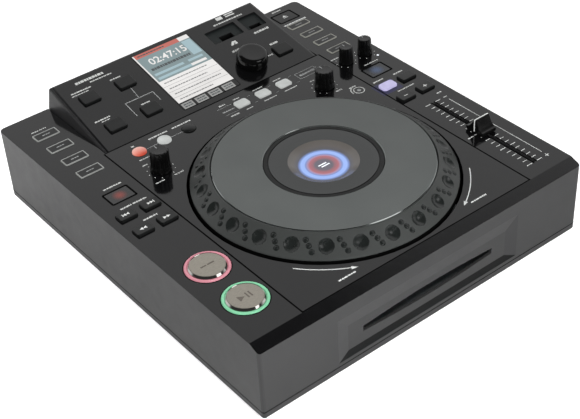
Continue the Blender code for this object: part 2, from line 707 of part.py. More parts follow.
def slot_outline(steps):
    """Half heights of the disc slot from end to end: it swells in the middle."""
    points = []
    for step in range(steps + 1):
        share = 2 * step / steps - 1
        swell = math.cos(share * math.pi / 2)
        half = SLOT_END_HALF_HEIGHT + (SLOT_MID_HALF_HEIGHT - SLOT_END_HALF_HEIGHT) * swell
        points.append((share * SLOT_HALF, half))
    return points


def disc_slot():
    """A lens-shaped prism through the front wall."""
    bm = bmesh.new()
    outline = slot_outline(SLOT_STEPS)
    ring = [(x, SLOT_Z + half) for x, half in outline]
    ring += [(x, SLOT_Z - half) for x, half in reversed(outline)]
    verts = [bm.verts.new((x, FRONT - OVER, z)) for x, z in ring]
    face = bm.faces.new(verts)
    back = bmesh.ops.extrude_face_region(bm, geom=[face])["geom"]
    for vert in back:
        if isinstance(vert, bmesh.types.BMVert):
            vert.co.y = FRONT + FRONT_WALL + OVER / 2
    return make_cutter("cover_disc_slot", bm)


def rear_holes():
    """Holes in the back wall for the sockets and the power rocker."""
    bm = bmesh.new()
    low = BACK - COVER_WALL - OVER / 2
    high = BACK + OVER
    board_top = BASE_TOP + BOSS_HEIGHT + BOARD_THICK
    sill = board_top - BOARD_THICK / 2 - GAP
    for side in (-1, 1):
        x = PHONO_X_SHARE * BODY_HALF + side * PHONO_SPACING / 2
        place = Matrix.Translation((x, (low + high) / 2, board_top + JACK_HEIGHT / 2))
        place = place @ Matrix.Rotation(math.pi / 2, 4, "X")
        bmesh.ops.create_cone(bm, cap_ends=True, segments=24, radius1=PHONO_RADIUS + GAP,
                              radius2=PHONO_RADIUS + GAP, depth=high - low, matrix=place)
    x = LINK_X_SHARE * BODY_HALF
    half = LINK_JACK_SIZE[0] / 2 + GAP
    add_box(bm, (x - half, low, sill), (x + half, high, board_top + JACK_HEIGHT + GAP))
    x = INLET_X_SHARE * BODY_HALF
    half = INLET_SIZE[0] / 2 + GAP
    add_box(bm, (x - half, low, sill), (x + half, high, board_top + INLET_SIZE[2] + GAP))
    rocker_block(bm, 0, BACK - COVER_WALL - ROCKER_HOUSING_DEPTH - OVER, high)
    return bm


def rocker_block(bm, grow, low, high):
    """The rocker's opening, or with some growth its housing, between two depths."""
    x = ROCKER_X_SHARE * BODY_HALF
    z = FOOT_DROP + ROCKER_ABOVE_BASE
    half = ROCKER_HALF_WIDTH + GAP + grow
    tall = ROCKER_HALF_HEIGHT + ROCKER_SWING_GAP + grow
    add_box(bm, (x - half, low, z - tall), (x + half, high, z + tall))


def build_panel():
    """Centre panel with the jog opening and its own keys' holes."""
    bm = bmesh.new()
    verts = add_box(bm, (-PANEL_HALF + GAP, PANEL_FRONT + GAP, DECK - PANEL_THICK),
                    (PANEL_HALF - GAP, RISER_FRONT - GAP, DECK))
    round_uprights(bm, verts, GAP, 1)
    panel = make_part("centre_panel", bm, "panel_black")
    holes = bmesh.new()
    low = DECK - PANEL_THICK - OVER
    high = DECK + OVER
    add_cylinder(holes, 0, JOG_Y, JOG_HOLE_RADIUS, low, high, JOG_SIDES)
    for _, x, y in PADS:
        key_hole(holes, x, y, PAD_SIZE, low, high)
    for _, x, y, _ in ROUND_KEYS:
        add_cylinder(holes, x, y, ROUND_KEY_RADIUS + GAP, low, high, ROUND_SIDES)
    for x, y in (JOG_WEIGHT_PLACE, TOUCH_PLACE):
        add_cylinder(holes, x, y, KNOB_SHAFT + GAP, low, high, 16)
    combine(panel, make_cutter("panel_holes", holes))


def build_riser():
    """Console housing: a hollow wedge with a window, key holes and two bays."""
    bm = bmesh.new()
    bottom = DECK - PANEL_THICK
    verts = add_box(bm, (-RISER_HALF + GAP, RISER_FRONT + GAP, bottom),
                    (RISER_HALF - GAP, BACK, DECK + RISER_RISE))
    for vert in verts:
        if vert.co.z > DECK:
            vert.co.z = console_top(vert.co.y)
            rise_share = (vert.co.z - DECK) / RISER_RISE
            vert.co.x -= math.copysign(RISER_DRAFT * rise_share, vert.co.x)
    weight = bm.edges.layers.float.new("bevel_weight_edge")
    top_edges = [e for e in bm.edges if min(v.co.z for v in e.verts) > DECK
                 and max(v.co.y for v in e.verts) > RISER_FRONT + RISER_DEPTH / 2]
    for edge in top_edges:
        edge[weight] = 1
    riser = make_part("riser_housing", bm, "panel_black")
    soften = riser.modifiers.new("soft_edges", "BEVEL")
    soften.width = RISER_ROUND
    soften.segments = 3
    soften.limit_method = "WEIGHT"

    hollow = bmesh.new()
    verts = add_box(hollow, (-RISER_HALF + SHELF_LAND, RISER_FRONT + CAVITY_START, bottom - OVER),
                    (RISER_HALF - SHELF_LAND, BACK - SHELF_LAND, DECK))
    for vert in verts:
        if vert.co.z > bottom:
            vert.co.z = console_top(vert.co.y, -RISER_WALL)
            rise_share = (console_top(vert.co.y) - DECK) / RISER_RISE
            vert.co.x -= math.copysign(RISER_DRAFT * rise_share, vert.co.x)
    combine(riser, make_cutter("riser_hollow", hollow))

    foot = console_point(0, 0)
    bays = bmesh.new()
    for shares, size in ((USB_SHARES, USB_BAY_SIZE), (CARD_SHARES, CARD_BAY_SIZE)):
        x, s = console_place(shares)
        verts = add_block(bays, x, s, size, -BAY_DEPTH, OVER)
        round_uprights(bays, verts, KEY_ROUND, 2)
    combine(riser, make_cutter("riser_bays", bays, foot, RISER_SLOPE))

    holes = bmesh.new()
    low = -RISER_WALL - OVER
    x, s = console_place(SCREEN_SHARES)
    key_hole(holes, x, s, SCREEN_SIZE, low, OVER)
    for _, shares in CONSOLE_KEYS:
        x, s = console_place(shares)
        key_hole(holes, x, s, CONSOLE_KEY_SIZE, low, OVER)
    x, s = console_place(BROWSE_SHARES)
    add_cylinder(holes, x, s, KNOB_SHAFT + GAP, low, OVER, 16)
    for shares, bay, port in ports():
        x, s = port_place(shares, bay, port)
        add_block(holes, x, s, port, low, OVER)
    combine(riser, make_cutter("riser_holes", holes, foot, RISER_SLOPE))


def ports():
    """Bay and port sizes of both sockets on the console."""
    return ((USB_SHARES, USB_BAY_SIZE, USB_PORT_SIZE), (CARD_SHARES, CARD_BAY_SIZE, CARD_PORT_SIZE))


def port_place(shares, bay, port):
    """A port's centre: across the middle of its bay, close to the bay's front edge."""
    x, s = console_place(shares)
    return x, s - bay[1] / 2 + PORT_TO_BAY_EDGE + port[1] / 2


def build_screen():
    """Screen lens, and the board that carries the screen and both sockets."""
    bm = bmesh.new()
    x, s = console_place(SCREEN_SHARES)
    verts = add_block(bm, 0, 0, SCREEN_SIZE, -LENS_THICK, 0)
    round_uprights(bm, verts, KEY_ROUND, 2)
    make_part("display_lens", bm, "lens", console_point(x, s), RISER_SLOPE)

    bm = bmesh.new()
    top = SHELF_FLOOR - GAP
    add_box(bm, (-RISER_HALF + BOARD_MARGIN, RISER_FRONT + CAVITY_START + BOARD_MARGIN, top - BOARD_THICK),
            (RISER_HALF - BOARD_MARGIN, BACK - COVER_WALL - BOARD_MARGIN, top))
    board = make_part("console_board", bm, "board_green")
    lcd = bmesh.new()
    front_y = console_point(0, s - SCREEN_SIZE[1] / 2 + LCD_MARGIN)[1]
    back_y = console_point(0, s + SCREEN_SIZE[1] / 2 - LCD_MARGIN)[1]
    half = SCREEN_SIZE[0] / 2 - LCD_MARGIN
    slope_block(lcd, (x - half, front_y), (x + half, back_y), top - BOARD_THICK / 2,
                -LENS_THICK - GAP)
    combine(board, make_cutter("lcd_block", lcd), "UNION")
    shells = bmesh.new()
    holes = bmesh.new()
    for shares, bay, port in ports():
        x, s = port_place(shares, bay, port)
        centre_y = console_point(0, s, -RISER_WALL)[1]
        reach = port[1] / 2 + PORT_WALL
        side = port[0] / 2 + PORT_WALL
        slope_block(shells, (x - side, centre_y - reach), (x + side, centre_y + reach),
                    top - BOARD_THICK / 2, -RISER_WALL - GAP)
        floor = console_top(centre_y, -RISER_WALL) - PORT_DEPTH
        add_box(holes, (x - port[0] / 2, centre_y - port[1] / 2, floor),
                (x + port[0] / 2, centre_y + port[1] / 2, DECK + RISER_RISE))
    combine(board, make_cutter("socket_shells", shells), "UNION")
    combine(board, make_cutter("socket_hollows", holes))


def slope_block(bm, low, high, bottom, above):
    """A block whose top is parallel to the console face."""
    verts = add_box(bm, (low[0], low[1], bottom), (high[0], high[1], DECK))
    for vert in verts:
        if vert.co.z > (bottom + DECK) / 2:
            vert.co.z = console_top(vert.co.y, above)


def build_keys():
    """All push keys, each on its own axis."""
    for name, x, y, size, proud, look in WING_KEYS:
        flanged_key(name, size, proud, COVER_WALL, look, (x, y, DECK))
    for name, x, y, look in GUARDED_KEYS:
        flanged_key(name, GUARDED_KEY_SIZE, GUARDED_PROUD, COVER_WALL, look, (x, y, DECK))
    for name, x, y in PADS:
        flanged_key(name, PAD_SIZE, PAD_PROUD, PANEL_THICK, "lit_white", (x, y, DECK))
    for name, shares in CONSOLE_KEYS:
        x, s = console_place(shares)
        flanged_key(name, CONSOLE_KEY_SIZE, SMALL_PROUD, RISER_WALL, "key_black",
                    console_point(x, s), RISER_SLOPE)
    below = PANEL_THICK + GAP
    for name, x, y, look in ROUND_KEYS:
        profile = [(0, ROUND_KEY_PROUD), (ROUND_KEY_RADIUS - KEY_ROUND, ROUND_KEY_PROUD),
                   (ROUND_KEY_RADIUS, ROUND_KEY_PROUD - KEY_ROUND), (ROUND_KEY_RADIUS, -below),
                   (ROUND_KEY_RADIUS + KEY_FLANGE, -below),
                   (ROUND_KEY_RADIUS + KEY_FLANGE, -below - KEY_FLANGE_THICK),
                   (0, -below - KEY_FLANGE_THICK)]
        turned(name, profile, ROUND_SIDES, look, (x, y, DECK))


def build_cue_and_play():
    """The two large buttons and the one light guide that rings both."""
    ring_inner = BIG_RADIUS + GAP
    under = -COVER_WALL - GAP
    floor = under - RING_FLANGE_THICK
    ring = [(ring_inner, RING_INNER_PROUD), (ring_inner + GAP, RING_INNER_PROUD), (RING_OUTER, RING_PROUD),
            (RING_OUTER, under), (RING_OUTER + RING_FLANGE, under), (RING_OUTER + RING_FLANGE, floor),
            (ring_inner, floor)]
    guide = turned("light_guide", ring, RING_SIDES, "light_guide",
                   (CUE_PLACE[0], CUE_PLACE[1], DECK), closed=True)
    other = turned("play_ring_shape", ring, RING_SIDES, None,
                   (PLAY_PLACE[0], PLAY_PLACE[1], DECK), closed=True)
    combine(guide, other, "UNION")
    bridge = bmesh.new()
    reach = (RING_OUTER + ring_inner) / 2
    add_box(bridge, (CUE_PLACE[0] - GUIDE_BRIDGE_HALF, PLAY_PLACE[1] + reach, DECK + floor + GAP),
            (CUE_PLACE[0] + GUIDE_BRIDGE_HALF, CUE_PLACE[1] - reach, DECK + under - GAP))
    combine(guide, make_cutter("guide_bridge", bridge), "UNION")
    below = floor - GAP
    button = [(0, BIG_PROUD - BIG_EDGE / 2), (BIG_RADIUS - 2 * BIG_EDGE, BIG_PROUD - BIG_EDGE / 2),
              (BIG_RADIUS - BIG_EDGE, BIG_PROUD), (BIG_RADIUS, BIG_PROUD - BIG_EDGE), (BIG_RADIUS, below),
              (BIG_RADIUS + RING_FLANGE, below), (BIG_RADIUS + RING_FLANGE, below - KEY_FLANGE_THICK),
              (0, below - KEY_FLANGE_THICK)]
    for name, place in (("cue_button", CUE_PLACE), ("play_pause_button", PLAY_PLACE)):
        turned(name, button, RING_SIDES, "cap_metal", (place[0], place[1], DECK))


def fluted_knob(name, sizes, place):
    """A potentiometer knob: fluted grip over a flared skirt, with its shaft below."""
    top, skirt, height = sizes
    edge = top / 6
    bm = bmesh.new()
    sides = 2 * KNOB_FLUTES
    levels = [(skirt, KNOB_LIFT, False), (skirt, KNOB_LIFT + height / 8, False),
              ((top + skirt) / 2, KNOB_LIFT + height / 5, True), (top, KNOB_LIFT + height / 2, True),
              (top - edge / 2, height - edge, True), (top - edge, height, False)]
    previous = None
    for radius, level, is_fluted in levels:
        ring = []
        for n in range(sides):
            angle = 2 * math.pi * n / sides
            reach = radius * (KNOB_FLUTE_SHARE if is_fluted and n % 2 else 1)
            ring.append(bm.verts.new((reach * math.cos(angle), reach * math.sin(angle), level)))
        edges = [bm.edges.new((ring[n - 1], ring[n])) for n in range(sides)]
        if previous:
            bmesh.ops.bridge_loops(bm, edges=previous + edges)
        else:
            first = ring
        previous = edges
    bm.faces.new(ring)
    bm.faces.new(list(reversed(first)))
    knob = make_part(name, bm, "knob_black", place)
    shaft = bmesh.new()
    add_cylinder(shaft, 0, 0, KNOB_SHAFT, -PANEL_THICK - KNOB_SHAFT_BELOW, KNOB_LIFT + height / 2, 16)
    combine(knob, make_cutter(name + "_shaft", shaft, place), "UNION")


def build_knobs():
    """Four fluted knobs and the browse knob with its push shaft."""
    for name, x, y in TIME_KNOBS:
        fluted_knob(name, TIME_KNOB, (x, y, DECK))
    fluted_knob("jog_weight_knob", JOG_WEIGHT_KNOB, (JOG_WEIGHT_PLACE[0], JOG_WEIGHT_PLACE[1], DECK))
    fluted_knob("touch_adjust_knob", TOUCH_KNOB, (TOUCH_PLACE[0], TOUCH_PLACE[1], DECK))
    x, s = console_place(BROWSE_SHARES)
    top = BROWSE_HEIGHT
    bore = KNOB_SHAFT + GAP
    profile = [(0, top)]
    for step in range(BROWSE_ARC_STEPS + 1):
        angle = math.pi / 2 * (1 - step / BROWSE_ARC_STEPS)
        profile.append((BROWSE_TOP_RADIUS - BROWSE_ROUND * (1 - math.cos(angle)),
                        top - BROWSE_ROUND * (1 - math.sin(angle))))
    profile += [(BROWSE_RADIUS, top * BROWSE_SHOULDER_SHARE), (BROWSE_RADIUS, BROWSE_LIFT + GAP),
                (BROWSE_RADIUS - GAP, BROWSE_LIFT), (bore, BROWSE_LIFT), (bore, BROWSE_BORE + GAP),
                (0, BROWSE_BORE + GAP)]
    turned("browse_knob", profile, RING_SIDES, "browse_black", console_point(x, s), RISER_SLOPE)
    under = -RISER_WALL - GAP
    shaft = [(0, BROWSE_BORE), (KNOB_SHAFT, BROWSE_BORE), (KNOB_SHAFT, under),
             (KNOB_SHAFT + KEY_FLANGE, under), (KNOB_SHAFT + KEY_FLANGE, under - KEY_FLANGE_THICK),
             (0, under - KEY_FLANGE_THICK)]
    turned("browse_shaft", shaft, 16, "steel", console_point(x, s), RISER_SLOPE)


def build_jog():
    """Jog wheel: dimpled ring and touch plate, on a fixed column with a display on top."""
    outer = JOG_HOLE_RADIUS - JOG_RUNNING_GAP
    lip = JOG_PLATE_RADIUS + JOG_LIP_GAP
    lip_wide = lip + JOG_LIP_GAP * 2
    seat_top = JOG_PLATE_RISE - JOG_PLATE_THICK - GAP
    ring = [(lip, JOG_PLATE_RISE - GAP), (lip_wide, JOG_PLATE_RISE - GAP),
            (outer - GAP, JOG_EDGE_RISE + GAP), (outer, JOG_EDGE_RISE), (outer, -JOG_SKIRT_DROP),
            (outer - JOG_WALL, -JOG_SKIRT_DROP),
            (outer - JOG_WALL, JOG_EDGE_RISE - JOG_WALL / 2), (lip - JOG_WALL / 2, seat_top - JOG_WALL),
            (lip - JOG_SEAT, seat_top - JOG_WALL), (lip - JOG_SEAT, seat_top), (lip, seat_top)]
    centre = (0, JOG_Y, DECK)
    wheel = turned("jog_ring", ring, JOG_SIDES, "wheel_dark", centre, closed=True)
    combine(wheel, dimple_cutter(outer, lip_wide))

    window = JOG_WINDOW_RADIUS + GAP
    cup_outer = window + JOG_CUP_WALL
    under = JOG_PLATE_RISE - JOG_PLATE_THICK
    sleeve = COLUMN_RADIUS + GAP
    plate = [(window, JOG_PLATE_RISE), (JOG_PLATE_RADIUS - GAP, JOG_PLATE_RISE),
             (JOG_PLATE_RADIUS, JOG_PLATE_RISE - GAP), (JOG_PLATE_RADIUS, under), (cup_outer, under),
             (cup_outer, JOG_CUP_FLOOR - JOG_WEB), (sleeve + SLEEVE_WALL, JOG_CUP_FLOOR - JOG_WEB),
             (sleeve + SLEEVE_WALL, -SLEEVE_DROP), (sleeve, -SLEEVE_DROP), (sleeve, JOG_CUP_FLOOR),
             (window, JOG_CUP_FLOOR)]
    turned("jog_plate", plate, JOG_SIDES, "plate_grey", centre, closed=True)

    flange_low = BASE_TOP + GAP + DRIVE_HEIGHT + GAP - DECK
    column_top = JOG_CUP_FLOOR + JOG_WEB
    hub = [(COLUMN_BORE, column_top), (COLUMN_RADIUS, column_top), (COLUMN_RADIUS, -SLEEVE_DROP - GAP),
           (COLUMN_SHOULDER, -SLEEVE_DROP - GAP), (COLUMN_SHOULDER, flange_low + HUB_FLANGE_THICK),
           (HUB_FLANGE_RADIUS, flange_low + HUB_FLANGE_THICK), (HUB_FLANGE_RADIUS, flange_low),
           (COLUMN_BORE, flange_low)]
    turned("jog_hub", hub, RING_SIDES, "steel", centre, closed=True)

    display = [(0, DISPLAY_BOWL_RISE), (DISPLAY_BOWL_FLOOR_RADIUS, DISPLAY_BOWL_RISE),
               (DISPLAY_BOWL_RADIUS, JOG_PLATE_RISE - 2 * GAP),
               (JOG_WINDOW_RADIUS, JOG_PLATE_RISE - 2 * GAP), (JOG_WINDOW_RADIUS, column_top + GAP),
               (0, column_top + GAP)]
    turned("jog_display", display, JOG_SIDES, "display_black", centre)


def dimple_cutter(outer, inner):
    """Round finger dimples: flattened balls sunk square to the ring's slope."""
    bm = bmesh.new()
    low = JOG_EDGE_RISE
    high = JOG_PLATE_RISE - GAP
    radius = (outer + inner) / 2
    lean = math.atan2(high - low, outer - inner)
    squash = Matrix.Diagonal((DIMPLE_RADIUS, DIMPLE_RADIUS, DIMPLE_DEPTH, 1))
    for n in range(DIMPLE_COUNT):
        turn = Matrix.Rotation(DIMPLE_PHASE + 2 * math.pi * n / DIMPLE_COUNT, 4, "Z")
        place = Matrix.Translation((radius, 0, (low + high) / 2))
        tip = Matrix.Rotation(lean, 4, "Y")
        bmesh.ops.create_uvsphere(bm, u_segments=10, v_segments=4, radius=1,
                                  matrix=turn @ place @ tip @ squash)
    return make_cutter("jog_dimples", bm, (0, JOG_Y, DECK))


def build_fader():
    """Pitch fader: its rail under the deck and the cap that slides in the slot."""
    x, y = FADER_PLACE
    top = DECK - COVER_WALL - GAP
    bm = bmesh.new()
    reach = FADER_SLOT_LENGTH / 2 + FADER_RAIL_END
    add_box(bm, (x - FADER_RAIL_HALF, y - reach, top - FADER_RAIL_DEPTH),
            (x + FADER_RAIL_HALF, y + reach, top))
    rail = make_part("fader_rail", bm, "steel")
    groove = bmesh.new()
    floor = top - FADER_STEM_DROP + COVER_WALL - GAP
    add_box(groove, (x - FADER_SLOT_WIDTH / 2, y - FADER_SLOT_LENGTH / 2, floor),
            (x + FADER_SLOT_WIDTH / 2, y + FADER_SLOT_LENGTH / 2, top + OVER))
    combine(rail, make_cutter("fader_groove", groove))

    width, length, height = FADER_CAP_SIZE
    cap = bmesh.new()
    outline = fader_outline(length / 2, height)
    verts = [cap.verts.new((-width / 2, along, level)) for along, level in outline]
    face = cap.faces.new(verts)
    side = bmesh.ops.extrude_face_region(cap, geom=[face])["geom"]
    for vert in side:
        if isinstance(vert, bmesh.types.BMVert):
            vert.co.x = width / 2
    slider = make_part("pitch_fader", cap, "knob_black", (x, y + FADER_REST, DECK))
    stem = bmesh.new()
    add_box(stem, (-FADER_STEM_WIDTH / 2, -FADER_STEM_LENGTH / 2, -FADER_STEM_DROP),
            (FADER_STEM_WIDTH / 2, FADER_STEM_LENGTH / 2, FADER_LIFT + GAP * 2))
    combine(slider, make_cutter("fader_stem", stem, (x, y + FADER_REST, DECK)), "UNION")


# Side view of the fader cap, as shares of its half length and height
FADER_PROFILE_SHARES = ((1.0, 0.0), (1.0, 0.08), (0.72, 0.28), (0.5, 0.62), (0.34, 0.86),
                        (0.08, 0.97), (0.04, 1.0))


def fader_outline(half, height):
    """The cap's closed side outline, from one foot over the ridge to the other."""
    rise = height - FADER_LIFT
    right = [(share * half, FADER_LIFT + level * rise) for share, level in FADER_PROFILE_SHARES]
    left = [(-along, level) for along, level in reversed(right)]
    return right + left


def build_drive():
    """Slot-in disc drive and its turntable."""
    bm = bmesh.new()
    mouth = FRONT + FRONT_WALL + GAP
    floor = BASE_TOP + GAP
    add_box(bm, (-DRIVE_HALF, mouth, floor), (DRIVE_HALF, mouth + DRIVE_DEPTH, floor + DRIVE_HEIGHT))
    drive = make_part("disc_drive", bm, "steel")
    centre_y = mouth + DISC_CENTRE_FROM_MOUTH
    cavity = bmesh.new()
    add_box(cavity, (-SLOT_HALF, mouth - OVER, SLOT_Z - DRIVE_MOUTH_HALF_HEIGHT),
            (SLOT_HALF, centre_y + DISC_RADIUS + DISC_CLEAR, SLOT_Z + DRIVE_MOUTH_HALF_HEIGHT))
    combine(drive, make_cutter("drive_cavity", cavity))
    well_top = SLOT_Z - DRIVE_MOUTH_HALF_HEIGHT
    well = bmesh.new()
    add_cylinder(well, 0, centre_y, TURNTABLE_RADIUS + GAP,
                 well_top - TURNTABLE_THICK - TURNTABLE_SINK - GAP,
                 well_top + DRIVE_MOUTH_HALF_HEIGHT, 32)
    combine(drive, make_cutter("drive_well", well))
    top = -TURNTABLE_SINK
    profile = [(0, top + TURNTABLE_NOSE), (TURNTABLE_NOSE_RADIUS, top + TURNTABLE_NOSE),
               (TURNTABLE_NOSE_RADIUS, top), (TURNTABLE_RADIUS, top),
               (TURNTABLE_RADIUS, top - TURNTABLE_THICK),
               (0, top - TURNTABLE_THICK)]
    turned("disc_turntable", profile, 32, "key_black", (0, centre_y, well_top))


def build_boards():
    """Main board with the signal sockets, and the power supply with the mains inlet."""
    low = BASE_TOP + BOSS_HEIGHT
    top = low + BOARD_THICK
    face = BACK - REAR_SINK
    x_low, y_low, x_high, y_high = board_rect(MAIN_BOARD_X_SHARE, MAIN_BOARD_SIZE)
    bm = bmesh.new()
    add_box(bm, (x_low, y_low, low), (x_high, y_high, top))
    board = make_part("main_board", bm, "board_green")
    jacks = bmesh.new()
    inner_face = BACK - COVER_WALL - GAP
    x = PHONO_X_SHARE * BODY_HALF
    half = PHONO_BLOCK_SIZE[0] / 2
    add_box(jacks, (x - half, inner_face - PHONO_BLOCK_SIZE[1], low + BOARD_THICK / 2),
            (x + half, inner_face, top + JACK_HEIGHT))
    x = LINK_X_SHARE * BODY_HALF
    half = LINK_JACK_SIZE[0] / 2
    add_box(jacks, (x - half, face - LINK_JACK_SIZE[1], low + BOARD_THICK / 2),
            (x + half, face, top + JACK_HEIGHT))
    combine(board, make_cutter("jack_blocks", jacks), "UNION")
    barrels = bmesh.new()
    for side in (-1, 1):
        x = PHONO_X_SHARE * BODY_HALF + side * PHONO_SPACING / 2
        start = inner_face - PHONO_BLOCK_SIZE[1] / 2
        place = Matrix.Translation((x, (start + face) / 2, top + JACK_HEIGHT / 2))
        place = place @ Matrix.Rotation(math.pi / 2, 4, "X")
        bmesh.ops.create_cone(barrels, cap_ends=True, segments=24, radius1=PHONO_RADIUS,
                              radius2=PHONO_RADIUS, depth=face - start, matrix=place)
    combine(board, make_cutter("phono_barrels", barrels), "UNION")
    hole = bmesh.new()
    x = LINK_X_SHARE * BODY_HALF
    z = top + JACK_HEIGHT / 2
    add_box(hole, (x - LINK_HOLE_SIZE[0] / 2, face - LINK_HOLE_DEPTH, z - LINK_HOLE_SIZE[1] / 2),
            (x + LINK_HOLE_SIZE[0] / 2, face + OVER, z + LINK_HOLE_SIZE[1] / 2))
    combine(board, make_cutter("link_hollow", hole))

    x_low, y_low, x_high, y_high = board_rect(SUPPLY_BOARD_X_SHARE, SUPPLY_BOARD_SIZE)
    bm = bmesh.new()
    add_box(bm, (x_low, y_low, low), (x_high, y_high, top))
    supply = make_part("power_supply", bm, "board_green")
    blocks = bmesh.new()
    x = INLET_X_SHARE * BODY_HALF
    half = INLET_SIZE[0] / 2
    add_box(blocks, (x - half, face - INLET_SIZE[1], low + BOARD_THICK / 2),
            (x + half, face, top + INLET_SIZE[2]))
    wide, deep, tall = TRANSFORMER_SIZE
    add_box(blocks, (x_low + BOSS_HALF, y_low + BOSS_HALF, low + BOARD_THICK / 2),
            (x_low + BOSS_HALF + wide, y_low + BOSS_HALF + deep, top + tall))
    add_cylinder(blocks, x_high - BOSS_HALF - CAPACITOR_RADIUS, y_low + BOSS_HALF + CAPACITOR_RADIUS,
                 CAPACITOR_RADIUS, low + BOARD_THICK / 2, top + CAPACITOR_HEIGHT, 20)
    combine(supply, make_cutter("supply_blocks", blocks), "UNION")
    hole = bmesh.new()
    z = top + INLET_SIZE[2] / 2
    add_box(hole, (x - INLET_HOLE_SIZE[0] / 2, face - INLET_HOLE_DEPTH, z - INLET_HOLE_SIZE[1] / 2),
            (x + INLET_HOLE_SIZE[0] / 2, face + OVER, z + INLET_HOLE_SIZE[1] / 2))
    combine(supply, make_cutter("inlet_hollow", hole))
    pins = bmesh.new()
    for step in (-1, 0, 1):
        pin_x = x + step * INLET_PIN_SPACING
        pin_z = z + (INLET_PIN_SIZE[2] / 2 if step == 0 else -INLET_PIN_SIZE[2] / 2)
        pin_back = face - INLET_HOLE_DEPTH
        add_box(pins, (pin_x - INLET_PIN_SIZE[0] / 2, pin_back - OVER / 2, pin_z - INLET_PIN_SIZE[2] / 2),
                (pin_x + INLET_PIN_SIZE[0] / 2, pin_back + INLET_PIN_SIZE[1], pin_z + INLET_PIN_SIZE[2] / 2))
    combine(supply, make_cutter("inlet_pins", pins), "UNION")


def build_rocker():
    """Power rocker in the back wall, turning about a pin along X."""
    bm = bmesh.new()
    verts = add_box(bm, (-ROCKER_HALF_WIDTH, -ROCKER_HALF_DEPTH, -ROCKER_HALF_HEIGHT),
                    (ROCKER_HALF_WIDTH, ROCKER_HALF_DEPTH, ROCKER_HALF_HEIGHT))
    ends = [e for e in edges_of(verts) if abs(e.verts[0].co.x - e.verts[1].co.x) > ROCKER_HALF_WIDTH]
    bmesh.ops.bevel(bm, geom=ends, offset=KEY_ROUND, segments=2, profile=0.5, affect="EDGES")
    place = (ROCKER_X_SHARE * BODY_HALF, BACK - ROCKER_FRONT_GAP, FOOT_DROP + ROCKER_ABOVE_BASE)
    make_part("power_rocker", bm, "key_black", place, ROCKER_TILT)


build_base()
build_feet()
build_cover()
build_panel()
build_riser()
build_screen()
build_keys()
build_cue_and_play()
build_knobs()
build_jog()
build_fader()
build_drive()
build_boards()
build_rocker()
print("modelled", len(parts.objects), "pieces")
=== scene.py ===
# %% [markdown]
# # A tabletop disc player
#
# This lesson dresses a finished CAD model of a disc player. The solids give every size, place and
# joint. Here each surface gets its fine shape and its finish, one kind of piece at a time.

# %% Load the frame
import json
import math

import bmesh
import bpy
from mathutils import Matrix, Vector

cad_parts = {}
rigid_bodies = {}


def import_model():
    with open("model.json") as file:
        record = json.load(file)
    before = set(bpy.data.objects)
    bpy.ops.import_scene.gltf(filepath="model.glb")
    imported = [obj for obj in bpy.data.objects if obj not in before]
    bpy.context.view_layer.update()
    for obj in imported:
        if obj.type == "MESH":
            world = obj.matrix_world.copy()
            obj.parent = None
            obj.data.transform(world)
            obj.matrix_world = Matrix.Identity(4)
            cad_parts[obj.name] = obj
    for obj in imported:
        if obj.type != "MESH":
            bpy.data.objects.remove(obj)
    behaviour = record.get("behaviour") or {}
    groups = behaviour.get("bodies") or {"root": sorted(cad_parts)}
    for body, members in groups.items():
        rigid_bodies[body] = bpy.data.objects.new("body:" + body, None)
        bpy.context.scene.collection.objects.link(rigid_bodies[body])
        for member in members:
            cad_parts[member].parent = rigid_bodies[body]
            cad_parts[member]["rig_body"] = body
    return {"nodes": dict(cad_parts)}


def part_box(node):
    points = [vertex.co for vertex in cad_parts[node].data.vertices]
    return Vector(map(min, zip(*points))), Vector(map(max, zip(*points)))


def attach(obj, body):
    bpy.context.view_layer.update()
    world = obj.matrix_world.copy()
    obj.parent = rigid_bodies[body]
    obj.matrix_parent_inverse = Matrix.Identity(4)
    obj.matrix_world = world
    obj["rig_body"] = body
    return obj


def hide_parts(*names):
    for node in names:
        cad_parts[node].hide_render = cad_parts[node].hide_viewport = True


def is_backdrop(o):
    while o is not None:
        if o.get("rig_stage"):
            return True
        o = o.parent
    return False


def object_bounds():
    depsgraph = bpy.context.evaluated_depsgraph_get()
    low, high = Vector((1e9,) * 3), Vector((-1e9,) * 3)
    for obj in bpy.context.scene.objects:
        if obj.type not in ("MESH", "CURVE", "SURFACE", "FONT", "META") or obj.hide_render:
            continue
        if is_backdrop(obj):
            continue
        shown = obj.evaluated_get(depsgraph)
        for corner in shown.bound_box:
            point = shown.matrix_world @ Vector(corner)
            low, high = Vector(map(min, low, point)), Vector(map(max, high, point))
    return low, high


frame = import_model()
cad_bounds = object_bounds()

# %% [markdown]
# Most small pieces are measured in millimetres, so one name turns them into metres. The main
# places are read from the frame: the deck's height, the middle of the jog wheel, and the sloping
# console, which has its own flat drawing plane.

# %% Main places
MM = 0.001
PLAY = 0.3 * MM
INK_LIFT = 0.06 * MM
FACING_UP = 0.9

body_low, body_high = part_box("top_cover")
panel_low, panel_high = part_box("centre_panel")
wheel_low, wheel_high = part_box("jog_ring")
deck = body_high.z
console_faces = frame["nodes"]["riser_housing"].data.polygons
console_top = max((face for face in console_faces if face.normal.z > FACING_UP), key=lambda face: face.area)
slope = math.acos(console_top.normal.z)
console_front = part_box("riser_housing")[0].y
console_edge = console_top.center.z - (console_top.center.y - console_front) * math.tan(slope)
wheel_centre = Vector(((wheel_low.x + wheel_high.x) / 2, (wheel_low.y + wheel_high.y) / 2, deck))
on_deck = Matrix.Translation((0, 0, deck))
on_console = Matrix.Translation((0, console_front, console_edge)) @ Matrix.Rotation(slope, 4, "X")
print("deck at", round(deck / MM, 1), "mm, console slope", round(math.degrees(slope), 2), "degrees")

